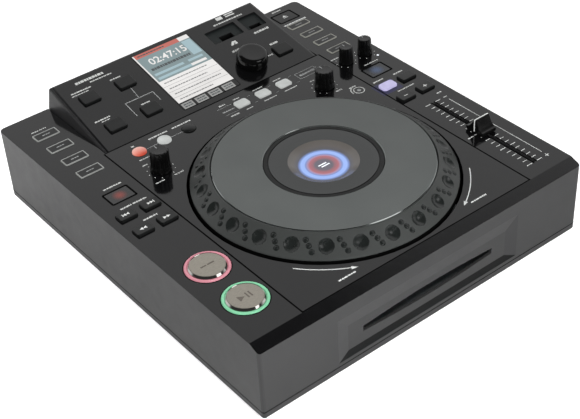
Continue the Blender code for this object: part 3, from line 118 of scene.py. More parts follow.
# %% [markdown]
# ## The camera
#
# The camera stands above the front left corner with a long lens, as a product photographer would
# place it. The lens keeps the far edges nearly parallel. A small roll tilts the picture the way it
# was taken.

# %% Camera
CAMERA_PLACE = (-0.525472, -0.711104, 0.688768)
CAMERA_AZIMUTH = math.radians(-36.7959)
CAMERA_HEIGHT_ANGLE = math.radians(37.7457)
CAMERA_ROLL = math.radians(-3.4203)
LENS_MM = 82.106
SENSOR_MM = 36
FARTHEST_SEEN = 20

lens = bpy.data.cameras.new("photo_camera")
lens.lens = LENS_MM
lens.sensor_width = SENSOR_MM
lens.clip_end = FARTHEST_SEEN
camera = bpy.data.objects.new("photo_camera", lens)
bpy.context.scene.collection.objects.link(camera)
camera.matrix_world = (Matrix.Translation(CAMERA_PLACE) @ Matrix.Rotation(CAMERA_AZIMUTH, 4, "Z")
                       @ Matrix.Rotation(math.pi / 2 - CAMERA_HEIGHT_ANGLE, 4, "X")
                       @ Matrix.Rotation(CAMERA_ROLL, 4, "Z"))
bpy.context.scene.camera = camera
print("camera with a", LENS_MM, "mm lens")

# %% [markdown]
# ## Colours and nodes
#
# Colours are written as sRGB hex values, the way a colour picker shows them, and one function turns
# them into the linear numbers that shaders use. Another adds a node, sets it up and links it, so
# that each finish below reads as a short recipe. Each input gets either a link or a value of its own.

# %% Colour and node helpers


def linear(hex_colour):
    """An sRGB hex colour as linear red, green and blue, and an alpha of one."""
    channels = [int(hex_colour[i:i + 2], 16) / 255 for i in (1, 3, 5)]
    return [c / 12.92 if c <= 0.04045 else ((c + 0.055) / 1.055) ** 2.4 for c in channels] + [1.0]


def feed(node, inputs):
    """Give each named input of a node a link or a value."""
    for socket, value in inputs.items():
        if isinstance(value, bpy.types.NodeSocket):
            node.id_data.links.new(value, node.inputs[socket])
        else:
            node.inputs[socket].default_value = value


def add_node(tree, kind, inputs=None, **settings):
    """Add a node with its settings and its inputs."""
    made = tree.nodes.new(kind)
    for name, value in settings.items():
        setattr(made, name, value)
    feed(made, inputs or {})
    return made


def start_material(name):
    """An empty node material: its tree, its Principled shader and its Object coordinates."""
    material = bpy.data.materials.new(name)
    material.use_nodes = True
    tree = material.node_tree
    tree.nodes.clear()
    shader = add_node(tree, "ShaderNodeBsdfPrincipled")
    add_node(tree, "ShaderNodeOutputMaterial", {"Surface": shader.outputs["BSDF"]})
    place = add_node(tree, "ShaderNodeTexCoord").outputs["Object"]
    return material, tree, shader, place


# %% [markdown]
# ## The studio
#
# The player stands on white paper in a tent. The paper's fibres are finer than its pattern of 2 mm,
# which only has to keep the white from looking like flat paint. A little extra light that only
# camera rays see lifts it to pure white away from the player, and its shadow stays.

# %% Paper floor
FLOOR_SIZE = 8
PAPER_LIFT = 0.65

bpy.ops.object.select_all(action="DESELECT")
bpy.ops.mesh.primitive_plane_add(size=FLOOR_SIZE, location=(0, 0, 0))
floor = bpy.context.object
floor.name = "white_paper_floor"
paper, tree, shader, place = start_material("white_paper")
fibre = add_node(tree, "ShaderNodeTexNoise", {"Vector": place, "Scale": 1 / (2 * MM), "Detail": 2})
shade = add_node(tree, "ShaderNodeMix", {0: fibre.outputs[0], 6: linear("#f4f4f4"), 7: linear("#f8f8f8")},
                 data_type="RGBA")
path = add_node(tree, "ShaderNodeLightPath")
lift = add_node(tree, "ShaderNodeMath", {0: path.outputs["Is Camera Ray"], 1: PAPER_LIFT},
                operation="MULTIPLY")
feed(shader, {"Base Color": shade.outputs[2], "Roughness": 0.9, "Emission Color": linear("#ffffff"),
              "Emission Strength": lift.outputs[0]})
floor.data.materials.append(paper)
floor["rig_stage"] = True
print("paper floor of", FLOOR_SIZE, "m")

# %% [markdown]
# Only the tent's back wall and a low band at its sides are lit. Flat gloss tops reflect the bright
# back wall as a soft grey, while faces that lean towards the camera reflect the dark roof and turn
# black. Four smooth ramps, over the height and over the direction to the back, draw these parts.

# %% Tent
TO_BACK = (0.6, 0.8, 0)
ROOF = (0.85, 0.90)
BACK_WALL = (0.22, 0.45)
LOW_BAND = (0.22, 0.40)
SIDES = (-0.25, 0.05)
DARK_CLOTH = 0.05

world = bpy.data.worlds.new("white_tent")
bpy.context.scene.world = world
world.use_nodes = True
tree = world.node_tree
tree.nodes.clear()
direction = add_node(tree, "ShaderNodeTexCoord").outputs["Generated"]
height = add_node(tree, "ShaderNodeSeparateXYZ", {"Vector": direction}).outputs["Z"]
towards_back = add_node(tree, "ShaderNodeVectorMath", {0: direction, 1: TO_BACK},
                        operation="DOT_PRODUCT").outputs["Value"]
ramps = []
for share, (start, end), light in ((height, ROOF, (1.0, 0)), (towards_back, BACK_WALL, (0, 1.0)),
                                   (height, LOW_BAND, (1.0, 0)), (towards_back, SIDES, (0, 1.0))):
    ramp = add_node(tree, "ShaderNodeMapRange", {"Value": share, "From Min": start, "From Max": end,
                                                 "To Min": light[0], "To Max": light[1]},
                    interpolation_type="SMOOTHSTEP")
    ramps.append(ramp.outputs[0])
roof, back_wall, low_band, sides = ramps
side_band = add_node(tree, "ShaderNodeMath", {0: low_band, 1: sides}, operation="MULTIPLY")
lit = add_node(tree, "ShaderNodeMath", {0: back_wall, 1: side_band.outputs[0]}, operation="MAXIMUM")
cloth = add_node(tree, "ShaderNodeMath", {0: lit.outputs[0], 1: roof}, operation="MULTIPLY")
power = add_node(tree, "ShaderNodeMapRange", {"Value": cloth.outputs[0], "To Min": DARK_CLOTH,
                                              "To Max": 1.0})
path = add_node(tree, "ShaderNodeLightPath")
tent = add_node(tree, "ShaderNodeBackground", {"Strength": power.outputs[0]})
plain = add_node(tree, "ShaderNodeBackground", {"Strength": 1.0})
seen = add_node(tree, "ShaderNodeMixShader", {0: path.outputs["Is Camera Ray"], 1: tent.outputs[0],
                                              2: plain.outputs[0]})
add_node(tree, "ShaderNodeOutputWorld", {"Surface": seen.outputs[0]})
print("tent with", len(ramps), "ramps")

# %% [markdown]
# Softboxes light the walls: one from the left and back, and two from the front. They don't show in
# the gloss. A large one high at the front right does, and it gives the metal and the gloss edges
# their glints.

# %% Softboxes
SOFTBOXES = (("left_back_softbox", (-0.45, 0.4, 0.35), 0.3, 2.3, False),
             ("front_softbox", (-0.2, -0.68, 0.42), 0.3, 5.2, False),
             ("front_left_softbox", (-0.6, -1.5, 0.7), 0.5, 2.0, False),
             ("front_right_softbox", (0.62, -1.4, 1.25), 0.8, 4, True))
for name, place, size, power, mirrored in SOFTBOXES:
    lamp = bpy.data.lights.new(name, "AREA")
    lamp.size = size
    lamp.energy = power
    holder = bpy.data.objects.new(name, lamp)
    holder.location = place
    holder.rotation_euler = (-Vector(place)).to_track_quat("-Z", "Y").to_euler()
    holder.visible_glossy = mirrored
    bpy.context.scene.collection.objects.link(holder)
bpy.context.scene.view_settings.view_transform = "Standard"
print("softboxes:", len(SOFTBOXES))

# %% [markdown]
# ## Moulded plastics
#
# The case, the keys and the knobs are injection-moulded ABS. A polished mould leaves a mirror-like
# skin with a faint waviness, and a spark-eroded mould leaves a fine grain that breaks the mirror.
# One recipe serves both: a cloudy tone, a wandering gloss and a grain in the bump, each with a size
# in millimetres. The grain is drawn a little coarser than the real 0.1 mm so that it shows.

# %% Moulded ABS recipe
CLOUD_MM = 35
SMUDGE_MM = 12


def add_skin(tree, shader, patterns, tones, gloss_range, relief, depth):
    """Drive a tone, a roughness and a bump, each with its own pattern."""
    tone = add_node(tree, "ShaderNodeMix", {0: patterns[0], 6: linear(tones[0]), 7: linear(tones[1])},
                    data_type="RGBA")
    gloss = add_node(tree, "ShaderNodeMapRange", {"Value": patterns[1], "From Min": 0.3, "From Max": 0.7,
                                                  "To Min": gloss_range[0], "To Max": gloss_range[1]})
    bump = add_node(tree, "ShaderNodeBump", {"Strength": relief, "Distance": depth, "Height": patterns[2]})
    feed(shader, {"Base Color": tone.outputs[2], "Roughness": gloss.outputs[0],
                  "Normal": bump.outputs[0]})


def moulded_abs(name, dark, light, gloss_low, gloss_high, grain_mm, relief):
    """ABS from a mould: two close tones, a roughness range, and a grain size with its relief."""
    material, tree, shader, place = start_material(name)
    cloud = add_node(tree, "ShaderNodeTexNoise",
                     {"Vector": place, "Scale": 1 / (CLOUD_MM * MM), "Detail": 3})
    smudge = add_node(tree, "ShaderNodeTexNoise",
                      {"Vector": place, "Scale": 1 / (SMUDGE_MM * MM), "Detail": 5, "Distortion": 0.6})
    grain = add_node(tree, "ShaderNodeTexNoise",
                     {"Vector": place, "Scale": 1 / (grain_mm * MM), "Detail": 2})
    add_skin(tree, shader, [pattern.outputs[0] for pattern in (cloud, smudge, grain)], (dark, light),
             (gloss_low, gloss_high), relief, grain_mm * MM / 4)
    return material


# Polished moulds mirror the tent: flat tops show its lit wall, and sloping ones its dark roof.
polished_abs = moulded_abs("polished_black_abs", "#0b0b0c", "#101011", 0.07, 0.12, 6.0, 0.02)
console_abs = moulded_abs("console_black_abs", "#0b0b0c", "#111112", 0.08, 0.14, 6.0, 0.02)
browse_abs = moulded_abs("browse_gloss_abs", "#070707", "#0a0a0a", 0.06, 0.1, 6.0, 0.02)
# The wheel's bowls are polished, and their dark tone is painted shade.
bowl_shade_abs = moulded_abs("wheel_bowl_polished_painted_shade", "#191c1b", "#202322", 0.22, 0.3, 6.0, 0.02)
# Grained moulds scatter the light, so these faces keep one even dark grey from every side.
grained_abs = moulded_abs("grained_black_abs", "#323233", "#393939", 0.28, 0.36, 0.5, 0.05)
key_abs = moulded_abs("key_black_abs", "#121313", "#181919", 0.38, 0.46, 0.5, 0.12)
knob_abs = moulded_abs("knob_black_abs", "#070707", "#0b0b0b", 0.22, 0.32, 0.5, 0.1)
side_abs = moulded_abs("console_side_abs", "#1c1c1d", "#232324", 0.36, 0.44, 0.5, 0.12)
wheel_abs = moulded_abs("wheel_dark_abs", "#393b3a", "#404241", 0.35, 0.43, 0.6, 0.05)
# The hollow's sides and its ledge are painted darker than the walls, as shade.
recess_shade_abs = moulded_abs("recess_side_painted_shade", "#29292a", "#303031", 0.3, 0.4, 0.5, 0.05)
dull_black_and_shade_abs = moulded_abs("dull_black_and_painted_shade", "#0c0d0d", "#111212", 0.4, 0.5, 0.5, 0.05)
bay_abs = moulded_abs("bay_floor_dull_abs", "#181d1d", "#202626", 0.6, 0.7, 0.5, 0.1)
# Nylon and rubber are duller still, and the blue field round the violet key is a painted glow.
socket_nylon = moulded_abs("socket_black_nylon", "#0e0e0e", "#151515", 0.5, 0.6, 0.5, 0.15)
foot_rubber = moulded_abs("foot_black_rubber", "#141414", "#1c1c1c", 0.7, 0.85, 0.8, 0.3)
halo_abs = moulded_abs("blue_painted_glow_field", "#1e1e46", "#26264e", 0.3, 0.4, 0.5, 0.05)
# Painted shade in gaps, seams and holes is a black that swallows nearly all light, and the same
# black is the data plate's print. A painted coat shows a fine peel.
black_painted_shade_and_print = moulded_abs("black_painted_shade_and_print", "#040404", "#070707", 0.9, 1.0, 0.5, 0.2)
painted_steel = moulded_abs("painted_steel_base", "#101010", "#161616", 0.4, 0.5, 0.7, 0.2)
# At a low angle the white paper would turn these dull skins grey, so they mirror less of it.
for dull, level in ((black_painted_shade_and_print, 0.1), (dull_black_and_shade_abs, 0.3), (grained_abs, 0.3), (wheel_abs, 0.25)):
    feed(dull.node_tree.nodes["Principled BSDF"], {"Specular IOR Level": level})
print("materials after the plastics:", len(bpy.data.materials))

# %% [markdown]
# ## Metals
#
# The two large buttons have a brushed nickel face, and the parts inside are zinc-plated steel.
# Brushing leaves fine straight scratches, so their noise is stretched along one direction. The
# polished bevel round each button is the same nickel without scratches.

# %% Metal recipes


def brushed_metal(name, dark, light, gloss_low, gloss_high, stretch, relief):
    """Metal with straight brush marks along X: stretch is marks per millimetre across and along."""
    material, tree, shader, place = start_material(name)
    across, along = stretch
    drawn = add_node(tree, "ShaderNodeMapping",
                     {"Vector": place, "Scale": (along / MM, across / MM, across / MM)})
    marks = add_node(tree, "ShaderNodeTexNoise", {"Vector": drawn.outputs[0], "Scale": 1.0, "Detail": 4})
    add_skin(tree, shader, 3 * [marks.outputs[0]], (dark, light), (gloss_low, gloss_high), relief, 0.1 * MM)
    shader.inputs["Metallic"].default_value = 1.0
    return material


# The brushed face is warm and streaked, the polished bevel mirrors the tent, and zinc looks cool.
brushed_nickel = brushed_metal("brushed_nickel", "#8f897f", "#d2ccc0", 0.34, 0.5, (1.6, 0.35), 0.5)
polished_nickel = brushed_metal("polished_nickel", "#c9c6c2", "#d6d3cf", 0.06, 0.1, (0.5, 0.3), 0.02)
zinc_steel = brushed_metal("zinc_plated_steel", "#a4a8aa", "#b9bdc0", 0.3, 0.42, (0.6, 0.3), 0.1)
cut_edge = brushed_metal("cut_aluminium_edge", "#8d9190", "#a3a7a6", 0.1, 0.16, (0.5, 0.3), 0.05)
print("materials after the metals:", len(bpy.data.materials))

# %% [markdown]
# ## Light that comes through plastic
#
# Lit keys are milky polycarbonate over an LED. The light is strongest above the LED and fades
# towards the edge. A soft cloud in the glow stands for that unevenness. Printing ink is dull and
# opaque, and gets a faint painted glow so that it stays readable in the shade.

# %% Lit plastics and ink


def uneven_light(name, body, glow, roughness, cloud_mm, cloud_range, strengths):
    """Gloss or milky material with a light whose strength wanders with a cloud."""
    material, tree, shader, place = start_material(name)
    cloud = add_node(tree, "ShaderNodeTexNoise",
                     {"Vector": place, "Scale": 1 / (cloud_mm * MM), "Detail": 1})
    power = add_node(tree, "ShaderNodeMapRange", {"Value": cloud.outputs[0], "From Min": cloud_range[0],
                                                  "From Max": cloud_range[1], "To Min": strengths[0],
                                                  "To Max": strengths[1]})
    feed(shader, {"Base Color": linear(body), "Roughness": roughness, "Emission Color": linear(glow),
                  "Emission Strength": power.outputs[0]})
    return material


def lit_plastic(name, body, glow, strength, cloud_mm=8):
    """Milky plastic lit from below, with an uneven glow."""
    return uneven_light(name, body, glow, 0.35, cloud_mm, (0.25, 0.75), (strength * 0.8, strength * 1.15))


# Milky caps and rims glow softly, and the two button rings are tinted by their LEDs.
pad_glow = lit_plastic("pad_white_polycarbonate", "#8f9190", "#dde1de", 0.4)
violet_glow = lit_plastic("violet_polycarbonate", "#8d88ac", "#d4cff4", 0.5)
edge_glow = lit_plastic("source_key_edge_glow", "#7c7e7c", "#d0d2ce", 0.18)
warm_edge_glow = lit_plastic("mode_key_edge_glow", "#7e7e78", "#d6d6cc", 0.17)
cue_glow = lit_plastic("cue_ring_glow", "#a8747e", "#dc8896", 0.42, 14)
play_glow = lit_plastic("play_ring_glow", "#6caa88", "#82cc9e", 0.42, 14)
lamp_white = lit_plastic("indicator_white_led", "#c8ccd0", "#f4f8ff", 0.7)
# Ink is opaque: white for the words, grey for the lines, and a brown mark where a laser etched.
# Each ink has a faint painted glow.
white_ink = lit_plastic("screen_print_white_ink", "#d4d6d4", "#d8dad8", 0.2)
label_ink = lit_plastic("label_print_light_grey_ink", "#c2c4c2", "#ccceca", 0.16)
dim_ink = lit_plastic("screen_print_grey_ink", "#9a9c9c", "#9a9c9c", 0.08)
etched_mark = lit_plastic("laser_etched_nickel_mark", "#5f5850", "#5f5850", 0.02)
print("materials after the lit plastics and inks:", len(bpy.data.materials))

# %% [markdown]
# ## Shaping helpers
#
# Each new piece starts as a primitive at its size and place and is then worked in edit mode. These
# helpers hold the steps that many pieces repeat: picking one object, choosing faces or edges by
# their place, rounding edges and cutting one shape out of another.

# %% Shaping helpers
STEEP = 10
DOUBLE = 0.001 * MM


def pick(piece):
    """Make one object the only selected and the active one."""
    bpy.ops.object.select_all(action="DESELECT")
    piece.select_set(True)
    bpy.context.view_layer.objects.active = piece


def start_box(name, low, high):
    """A cube primitive between two corners, with its size and place in its mesh."""
    low = Vector(low)
    high = Vector(high)
    bpy.ops.object.select_all(action="DESELECT")
    bpy.ops.mesh.primitive_cube_add(size=1, location=(low + high) / 2, scale=high - low)
    piece = bpy.context.object
    piece.name = name
    bpy.ops.object.transform_apply(location=True, rotation=True, scale=True)
    return piece


def choose(piece, kind, test):
    """Enter edit mode with the faces or edges selected that pass a test."""
    pick(piece)
    bpy.ops.object.mode_set(mode="EDIT")
    bpy.ops.mesh.select_mode(type=kind)
    bpy.ops.mesh.select_all(action="DESELECT")
    mesh = bmesh.from_edit_mesh(piece.data)
    for item in (mesh.faces if kind == "FACE" else mesh.edges):
        item.select_set(bool(test(item)))
    bmesh.update_edit_mesh(piece.data)


def leave():
    """Back to object mode."""
    bpy.ops.object.mode_set(mode="OBJECT")


def upright(edge):
    """True for an edge that runs along Z."""
    run = edge.verts[0].co - edge.verts[1].co
    return abs(run.z) > STEEP * (abs(run.x) + abs(run.y))


def round_uprights(piece, radius, segments=4):
    """Round a box's upright edges."""
    choose(piece, "EDGE", upright)
    bpy.ops.mesh.bevel(offset=radius, offset_type="OFFSET", segments=segments, affect="EDGES")
    leave()


def apply_modifier(piece, name, kind, **settings):
    """Add a modifier with its settings and apply it."""
    pick(piece)
    added = piece.modifiers.new(name, kind)
    for setting, value in settings.items():
        setattr(added, setting, value)
    bpy.ops.object.modifier_apply(modifier=name)


def smooth(piece, crease):
    """Shade a piece smooth, except at edges sharper than the crease in degrees."""
    pick(piece)
    bpy.ops.object.shade_smooth_by_angle(angle=math.radians(crease))
    return piece


def soften(piece, width, segments=2, angle=30, crease=55):
    """Round every edge sharper than an angle, and shade smooth except at creases."""
    apply_modifier(piece, "soft_edges", "BEVEL", width=width, segments=segments, limit_method="ANGLE",
                   angle_limit=math.radians(angle))
    smooth(piece, crease)
    apply_modifier(piece, "flat_faces", "WEIGHTED_NORMAL", weight=100, keep_sharp=True)


def cut_away(piece, cutter):
    """Take a cutter's shape out of a piece, and remove the cutter."""
    apply_modifier(piece, "cut", "BOOLEAN", object=cutter, operation="DIFFERENCE", solver="EXACT")
    bpy.data.objects.remove(cutter)


print("editing helpers are ready")

# %% [markdown]
# Most pieces are turned from a profile, like wood on a lathe, or drawn as an outline and extruded.
# Both start from a path: a point that is extruded from place to place. A flat arc is a short line
# that is spun through a part of a turn, and small print is a row of thin boxes in one mesh.

# %% Turned and drawn shapes


def draw_path(name, points):
    """A new mesh with one line through 3-D points, left in edit mode."""
    bpy.ops.object.select_all(action="DESELECT")
    bpy.ops.mesh.primitive_plane_add(size=MM)
    piece = bpy.context.object
    piece.name = name
    bpy.ops.object.mode_set(mode="EDIT")
    bpy.ops.mesh.select_mode(type="VERT")
    bpy.ops.mesh.merge(type="CENTER")
    bpy.ops.transform.translate(value=points[0])
    for start, end in zip(points, points[1:]):
        step = [b - a for a, b in zip(start, end)]
        bpy.ops.mesh.extrude_region_move(TRANSFORM_OT_translate={"value": step})
    bpy.ops.mesh.select_all(action="SELECT")
    return piece


def close_up(piece):
    """Merge doubles, turn the faces outwards and go back to object mode."""
    bpy.ops.mesh.select_all(action="SELECT")
    bpy.ops.mesh.remove_doubles(threshold=DOUBLE)
    bpy.ops.mesh.select_all(action="SELECT")
    bpy.ops.mesh.normals_make_consistent(inside=False)
    bpy.ops.object.mode_set(mode="OBJECT")
    return piece


def start_turned(name, profile, steps):
    """Turn a closed profile of (radius, height) points about Z."""
    piece = draw_path(name, [(radius, 0, height) for radius, height in profile])
    bpy.ops.mesh.spin(steps=steps, angle=2 * math.pi, center=(0, 0, 0), axis=(0, 0, 1))
    return close_up(piece)


def start_prism(name, outline, low, high):
    """Draw a flat outline of (x, y) points at one height and extrude it to another."""
    piece = draw_path(name, [(x, y, low) for x, y in outline + outline[:1]])
    bpy.ops.mesh.remove_doubles(threshold=DOUBLE)
    bpy.ops.mesh.select_all(action="SELECT")
    bpy.ops.mesh.edge_face_add()
    bpy.ops.mesh.extrude_region_move(TRANSFORM_OT_translate={"value": (0, 0, high - low)})
    return close_up(piece)


def start_band(name, inner, outer, start_angle, end_angle, low, high, steps=24):
    """A flat arc about Z between two radii and two angles in degrees, extruded upwards."""
    turn = math.radians(start_angle)
    ends = [(radius * math.cos(turn), radius * math.sin(turn), low) for radius in (inner, outer)]
    piece = draw_path(name, ends)
    bpy.ops.mesh.spin(steps=steps, angle=math.radians(end_angle - start_angle), center=(0, 0, 0),
                      axis=(0, 0, -1))
    bpy.ops.mesh.select_all(action="SELECT")
    bpy.ops.mesh.remove_doubles(threshold=DOUBLE)
    bpy.ops.mesh.select_all(action="SELECT")
    bpy.ops.mesh.extrude_region_move(TRANSFORM_OT_translate={"value": (0, 0, high - low)})
    return close_up(piece)


def start_bars(name, bars, low, high):
    """Thin bars in one mesh, each given as (left, right, middle, width, angle in degrees)."""
    piece = None
    for left, right, middle, width, angle in bars:
        if piece is None:
            bpy.ops.object.select_all(action="DESELECT")
        bpy.ops.mesh.primitive_cube_add(
            size=1, location=((left + right) / 2, middle, (low + high) / 2),
            rotation=(0, 0, math.radians(angle)), scale=(right - left, width, high - low))
        if piece is None:
            piece = bpy.context.object
            piece.name = name
            bpy.ops.object.transform_apply(location=True, rotation=True, scale=True)
            bpy.ops.object.mode_set(mode="EDIT")
    bpy.ops.object.mode_set(mode="OBJECT")
    return piece


def shift(piece, place):
    """Move a piece by changing its mesh, so that its object stays at the origin."""
    piece.data.transform(place if isinstance(place, Matrix) else Matrix.Translation(place))
    return piece


def copy_of(piece, name, place):
    """A copy with a mesh of its own, moved."""
    twin = piece.copy()
    twin.data = piece.data.copy()
    twin.name = name
    bpy.context.scene.collection.objects.link(twin)
    return shift(twin, place)


def join(name, pieces):
    """Join several pieces into one object."""
    bpy.ops.object.select_all(action="DESELECT")
    for piece in pieces:
        piece.select_set(True)
    bpy.context.view_layer.objects.active = pieces[0]
    if len(pieces) > 1:
        bpy.ops.object.join()
    pieces[0].name = name
    return pieces[0]


def turn_at(name, profile, steps, place, crease):
    """Turn a profile, move the result to its place and shade it smooth except at creases."""
    return smooth(shift(start_turned(name, profile, steps), place), crease)


print("shape helpers are ready")

# %% [markdown]
# ## Finishes, bodies and places
#
# A finished piece gets its material and rides on a body of the CAD model, so it moves with that
# body's joint. Where it stands for CAD nodes, these are hidden. Some pieces have a second finish
# on a few faces, and some CAD bodies are right as they are and only need a finish.

# %% Helpers for finishes and places


def hand_over(piece, body, material, slot, *nodes):
    """Give a piece its material and CAD body, and hide the CAD nodes it stands for; slot is not used."""
    piece.data.materials.clear()
    piece.data.materials.append(material)
    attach(piece, body)
    for node in nodes:
        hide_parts(node)
    return piece


def paint_faces(piece, material, test):
    """Give the faces that pass a test a finish of their own."""
    if material.name not in piece.data.materials:
        piece.data.materials.append(material)
    for face in piece.data.polygons:
        if test(face):
            face.material_index = piece.data.materials.find(material.name)


def refinish(node, material):
    """Give a CAD body that is right as it is a new finish."""
    frame["nodes"][node].data.materials.clear()
    frame["nodes"][node].data.materials.append(material)


def body_of(node):
    """The CAD body that a node belongs to."""
    return frame["nodes"][node]["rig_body"]


def box_middle(node):
    """The middle of a node's box."""
    low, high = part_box(node)
    return (low + high) / 2


def over(plane, middle):
    """The place in a plane that a middle stands over."""
    return plane @ Matrix.Translation((middle.x, middle.y, 0))


def off_axis(point, middle):
    """How far a point is from an upright axis through a middle."""
    return math.hypot(point.x - middle.x, point.y - middle.y)


def in_mm(points):
    """Points that are written in millimetres, in metres."""
    return [(x * MM, y * MM) for x, y in points]


print("finish helpers are ready")

# %% [markdown]
# ## The case
#
# The solids of the case already have every opening in the right place, but their edges are as sharp
# as a drawing's. A copy of each solid is merged back into whole faces, and every edge gets a small
# radius, because real mouldings have one and it catches the light. The deck is polished, and the
# walls are grained. The hollow in the front wall has sides painted darker as shade and a dull ledge
# painted near black as shade, the disc slot's floor is grained like the walls, and the floors of the
# two bays in the console are dull.

# %% Case with soft edges
EDGE_RADIUS = 0.35 * MM
CONSOLE_RADIUS = 1.2 * MM
MERGE = 0.005 * MM
FLAT_ANGLE = 0.5
LEDGE_FACING = 0.3
SIDE_FACING = 0.1
WALL_FACING = 0.5
FLAT_CREASE = 8
RECESS_START = 0.1 * MM
RECESS_DEPTH = 2.4 * MM
RECESS_HALF = 92 * MM
SMALL_FACE = 20 * MM * MM
SLOT_DROP = 20 * MM


def whole_copy(node, name):
    """A merged copy of a CAD node, with its triangles dissolved into whole faces."""
    source = frame["nodes"][node]
    piece = source.copy()
    piece.data = source.data.copy()
    piece.name = name
    piece.parent = None
    for key in list(piece.keys()):
        del piece[key]
    bpy.context.scene.collection.objects.link(piece)
    pick(piece)
    bpy.ops.object.mode_set(mode="EDIT")
    bpy.ops.mesh.select_all(action="SELECT")
    bpy.ops.mesh.remove_doubles(threshold=MERGE)
    bpy.ops.mesh.dissolve_limited(angle_limit=math.radians(FLAT_ANGLE))
    leave()
    bpy.ops.mesh.customdata_custom_splitnormals_clear()
    return piece


def soft_case(node, name, width, material, slot):
    """A case part with rounded edges."""
    piece = whole_copy(node, name)
    soften(piece, width, 2, 25, FLAT_CREASE)
    print(name, "has", len(piece.data.polygons), "faces")
    return hand_over(piece, body_of(node), material, slot, node)


def in_recess(face):
    """True for a large face inside the hollow of the front wall."""
    depth = face.center.y - body_low.y
    return (RECESS_START < depth < RECESS_DEPTH and abs(face.center.x) < RECESS_HALF
            and face.area > SMALL_FACE)


def in_bay(face):
    """True for a level face that lies below the console's top."""
    return face.normal.z > FACING_UP and (on_console.inverted() @ face.center).z < -1 * MM


case = soft_case("top_cover", "case_top", EDGE_RADIUS, polished_abs, "gloss_housing")
paint_faces(case, grained_abs, lambda face: face.normal.z <= FACING_UP or face.center.z < deck - SLOT_DROP)
# Painted shade: darker sides and a near-black ledge in the hollow of the front wall.
paint_faces(case, recess_shade_abs, lambda face: in_recess(face) and abs(face.normal.x) > SIDE_FACING)
paint_faces(case, dull_black_and_shade_abs, lambda face: (in_recess(face) and abs(face.normal.x) <= SIDE_FACING
                                          and face.normal.z > LEDGE_FACING))
soft_case("centre_panel", "centre_plate", EDGE_RADIUS, polished_abs, "gloss_housing")
shell = soft_case("riser_housing", "console_shell", CONSOLE_RADIUS, console_abs, "gloss_housing")
paint_faces(shell, side_abs, lambda face: face.normal.z <= FACING_UP)
paint_faces(shell, bay_abs, in_bay)
bottom = soft_case("base_plate", "bottom_plate", EDGE_RADIUS, painted_steel, "base")
paint_faces(bottom, grained_abs, lambda face: abs(face.normal.z) < WALL_FACING)
for node in ("jog_hub", "disc_drive", "fader_rail", "browse_shaft"):
    refinish(node, zinc_steel)
refinish("disc_turntable", socket_nylon)

# %% [markdown]
# ## The jog wheel's ring
#
# The ring is a cone with finger dimples, and three small knobs of plastic stand between each two,
# each in a fine groove. The plain ring is turned with many steps. Its points are then pushed along
# the cone's slope by a formula: a round bowl for each dimple, and a groove and a dome for each knob.
# The cone is dull, while the bowls and the knobs are polished, and painted darker as shade. The
# ring's outer wall, down in the gap to the deck, is painted black as shade.

# %% Jog ring's measures
WHEEL_STEPS = 1440
CONE_STEPS = 44
DIMPLE_COUNT = 24
DIMPLE_PHASE = math.radians(-99.1)
DIMPLE_RADIUS = 6.1 * MM
DIMPLE_DEPTH = 2.4 * MM
KNOB_RADIUS = 1.75 * MM
KNOB_HEIGHT = 0.75 * MM
KNOB_PITCH = 4.5 * MM
KNOB_SKEW = 0.55
KNOB_GROOVE_WIDTH = 0.5 * MM
KNOB_GROOVE_DEPTH = 0.25 * MM
RING_WALL = 2.5 * MM
PLATE_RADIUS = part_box("jog_plate")[1].x
PLATE_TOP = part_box("jog_plate")[1].z - deck
LIP_GAP = 0.6 * MM
RING_OUTER = wheel_high.x
RING_EDGE_RISE = 1.8 * MM
RING_BOTTOM = wheel_low.z - deck
RING_TOP = wheel_high.z - deck
HAIR = 0.05 * MM


def cone_point(share):
    """A point on the ring's cone, from its inner lip at 0 to its outer edge at 1."""
    inner = PLATE_RADIUS + 3 * LIP_GAP
    return (inner + share * (RING_OUTER - LIP_GAP - inner),
            RING_TOP - 0.2 * MM + share * (RING_EDGE_RISE + 0.5 * MM - RING_TOP + 0.2 * MM))


inner_r, inner_z = cone_point(0)
outer_r, outer_z = cone_point(1)
cone_length = math.hypot(outer_r - inner_r, outer_z - inner_z)
cone_along = Vector((outer_r - inner_r, 0, outer_z - inner_z)) / cone_length
cone_normal = Vector((-cone_along.z, 0, cone_along.x))
print("cone of", round(cone_length / MM, 1), "mm along its slope")

# %% [markdown]
# One function says where a point of the ring lies in the pattern: how far along the cone and off it,
# and how far from the nearest dimple and the nearest knob. Both the shape and the finishes follow it.

# %% Jog ring


def in_pattern(point):
    """A ring point's run along the cone, its height off it, and its way to a dimple and to a knob."""
    radius = math.hypot(point.x, point.y)
    from_lip = Vector((radius, 0, point.z)) - Vector((inner_r, 0, inner_z))
    along = from_lip.dot(cone_along)
    pitch = 2 * math.pi / DIMPLE_COUNT
    angle = math.atan2(point.y, point.x) - DIMPLE_PHASE
    from_dimple = (angle + pitch / 2) % pitch - pitch / 2
    from_knobs = angle % pitch - pitch / 2
    middle = along - cone_length / 2
    to_knob = min(math.hypot(from_knobs * radius - row * KNOB_PITCH * KNOB_SKEW, middle - row * KNOB_PITCH)
                  for row in (-1, 0, 1))
    return along, from_lip.dot(cone_normal), math.hypot(from_dimple * radius, middle), to_knob


def ring_push(to_dimple, to_knob):
    """How far a point of the cone is pushed out of it: down in a bowl or a groove, up in a knob."""
    if to_knob < KNOB_RADIUS:
        return KNOB_HEIGHT * (1 - (to_knob / KNOB_RADIUS) ** 2)
    bowl = -DIMPLE_DEPTH * max(0, 1 - (to_dimple / DIMPLE_RADIUS) ** 2)
    return min(bowl, -KNOB_GROOVE_DEPTH) if to_knob < KNOB_RADIUS + KNOB_GROOVE_WIDTH else bowl


def is_polished_with_shade(face):
    """True for a face of a bowl, a knob or a knob's groove."""
    to_dimple, to_knob = in_pattern(face.center)[2:]
    return face.normal.z > 0 and (to_dimple < DIMPLE_RADIUS or to_knob < KNOB_RADIUS + KNOB_GROOVE_WIDTH)


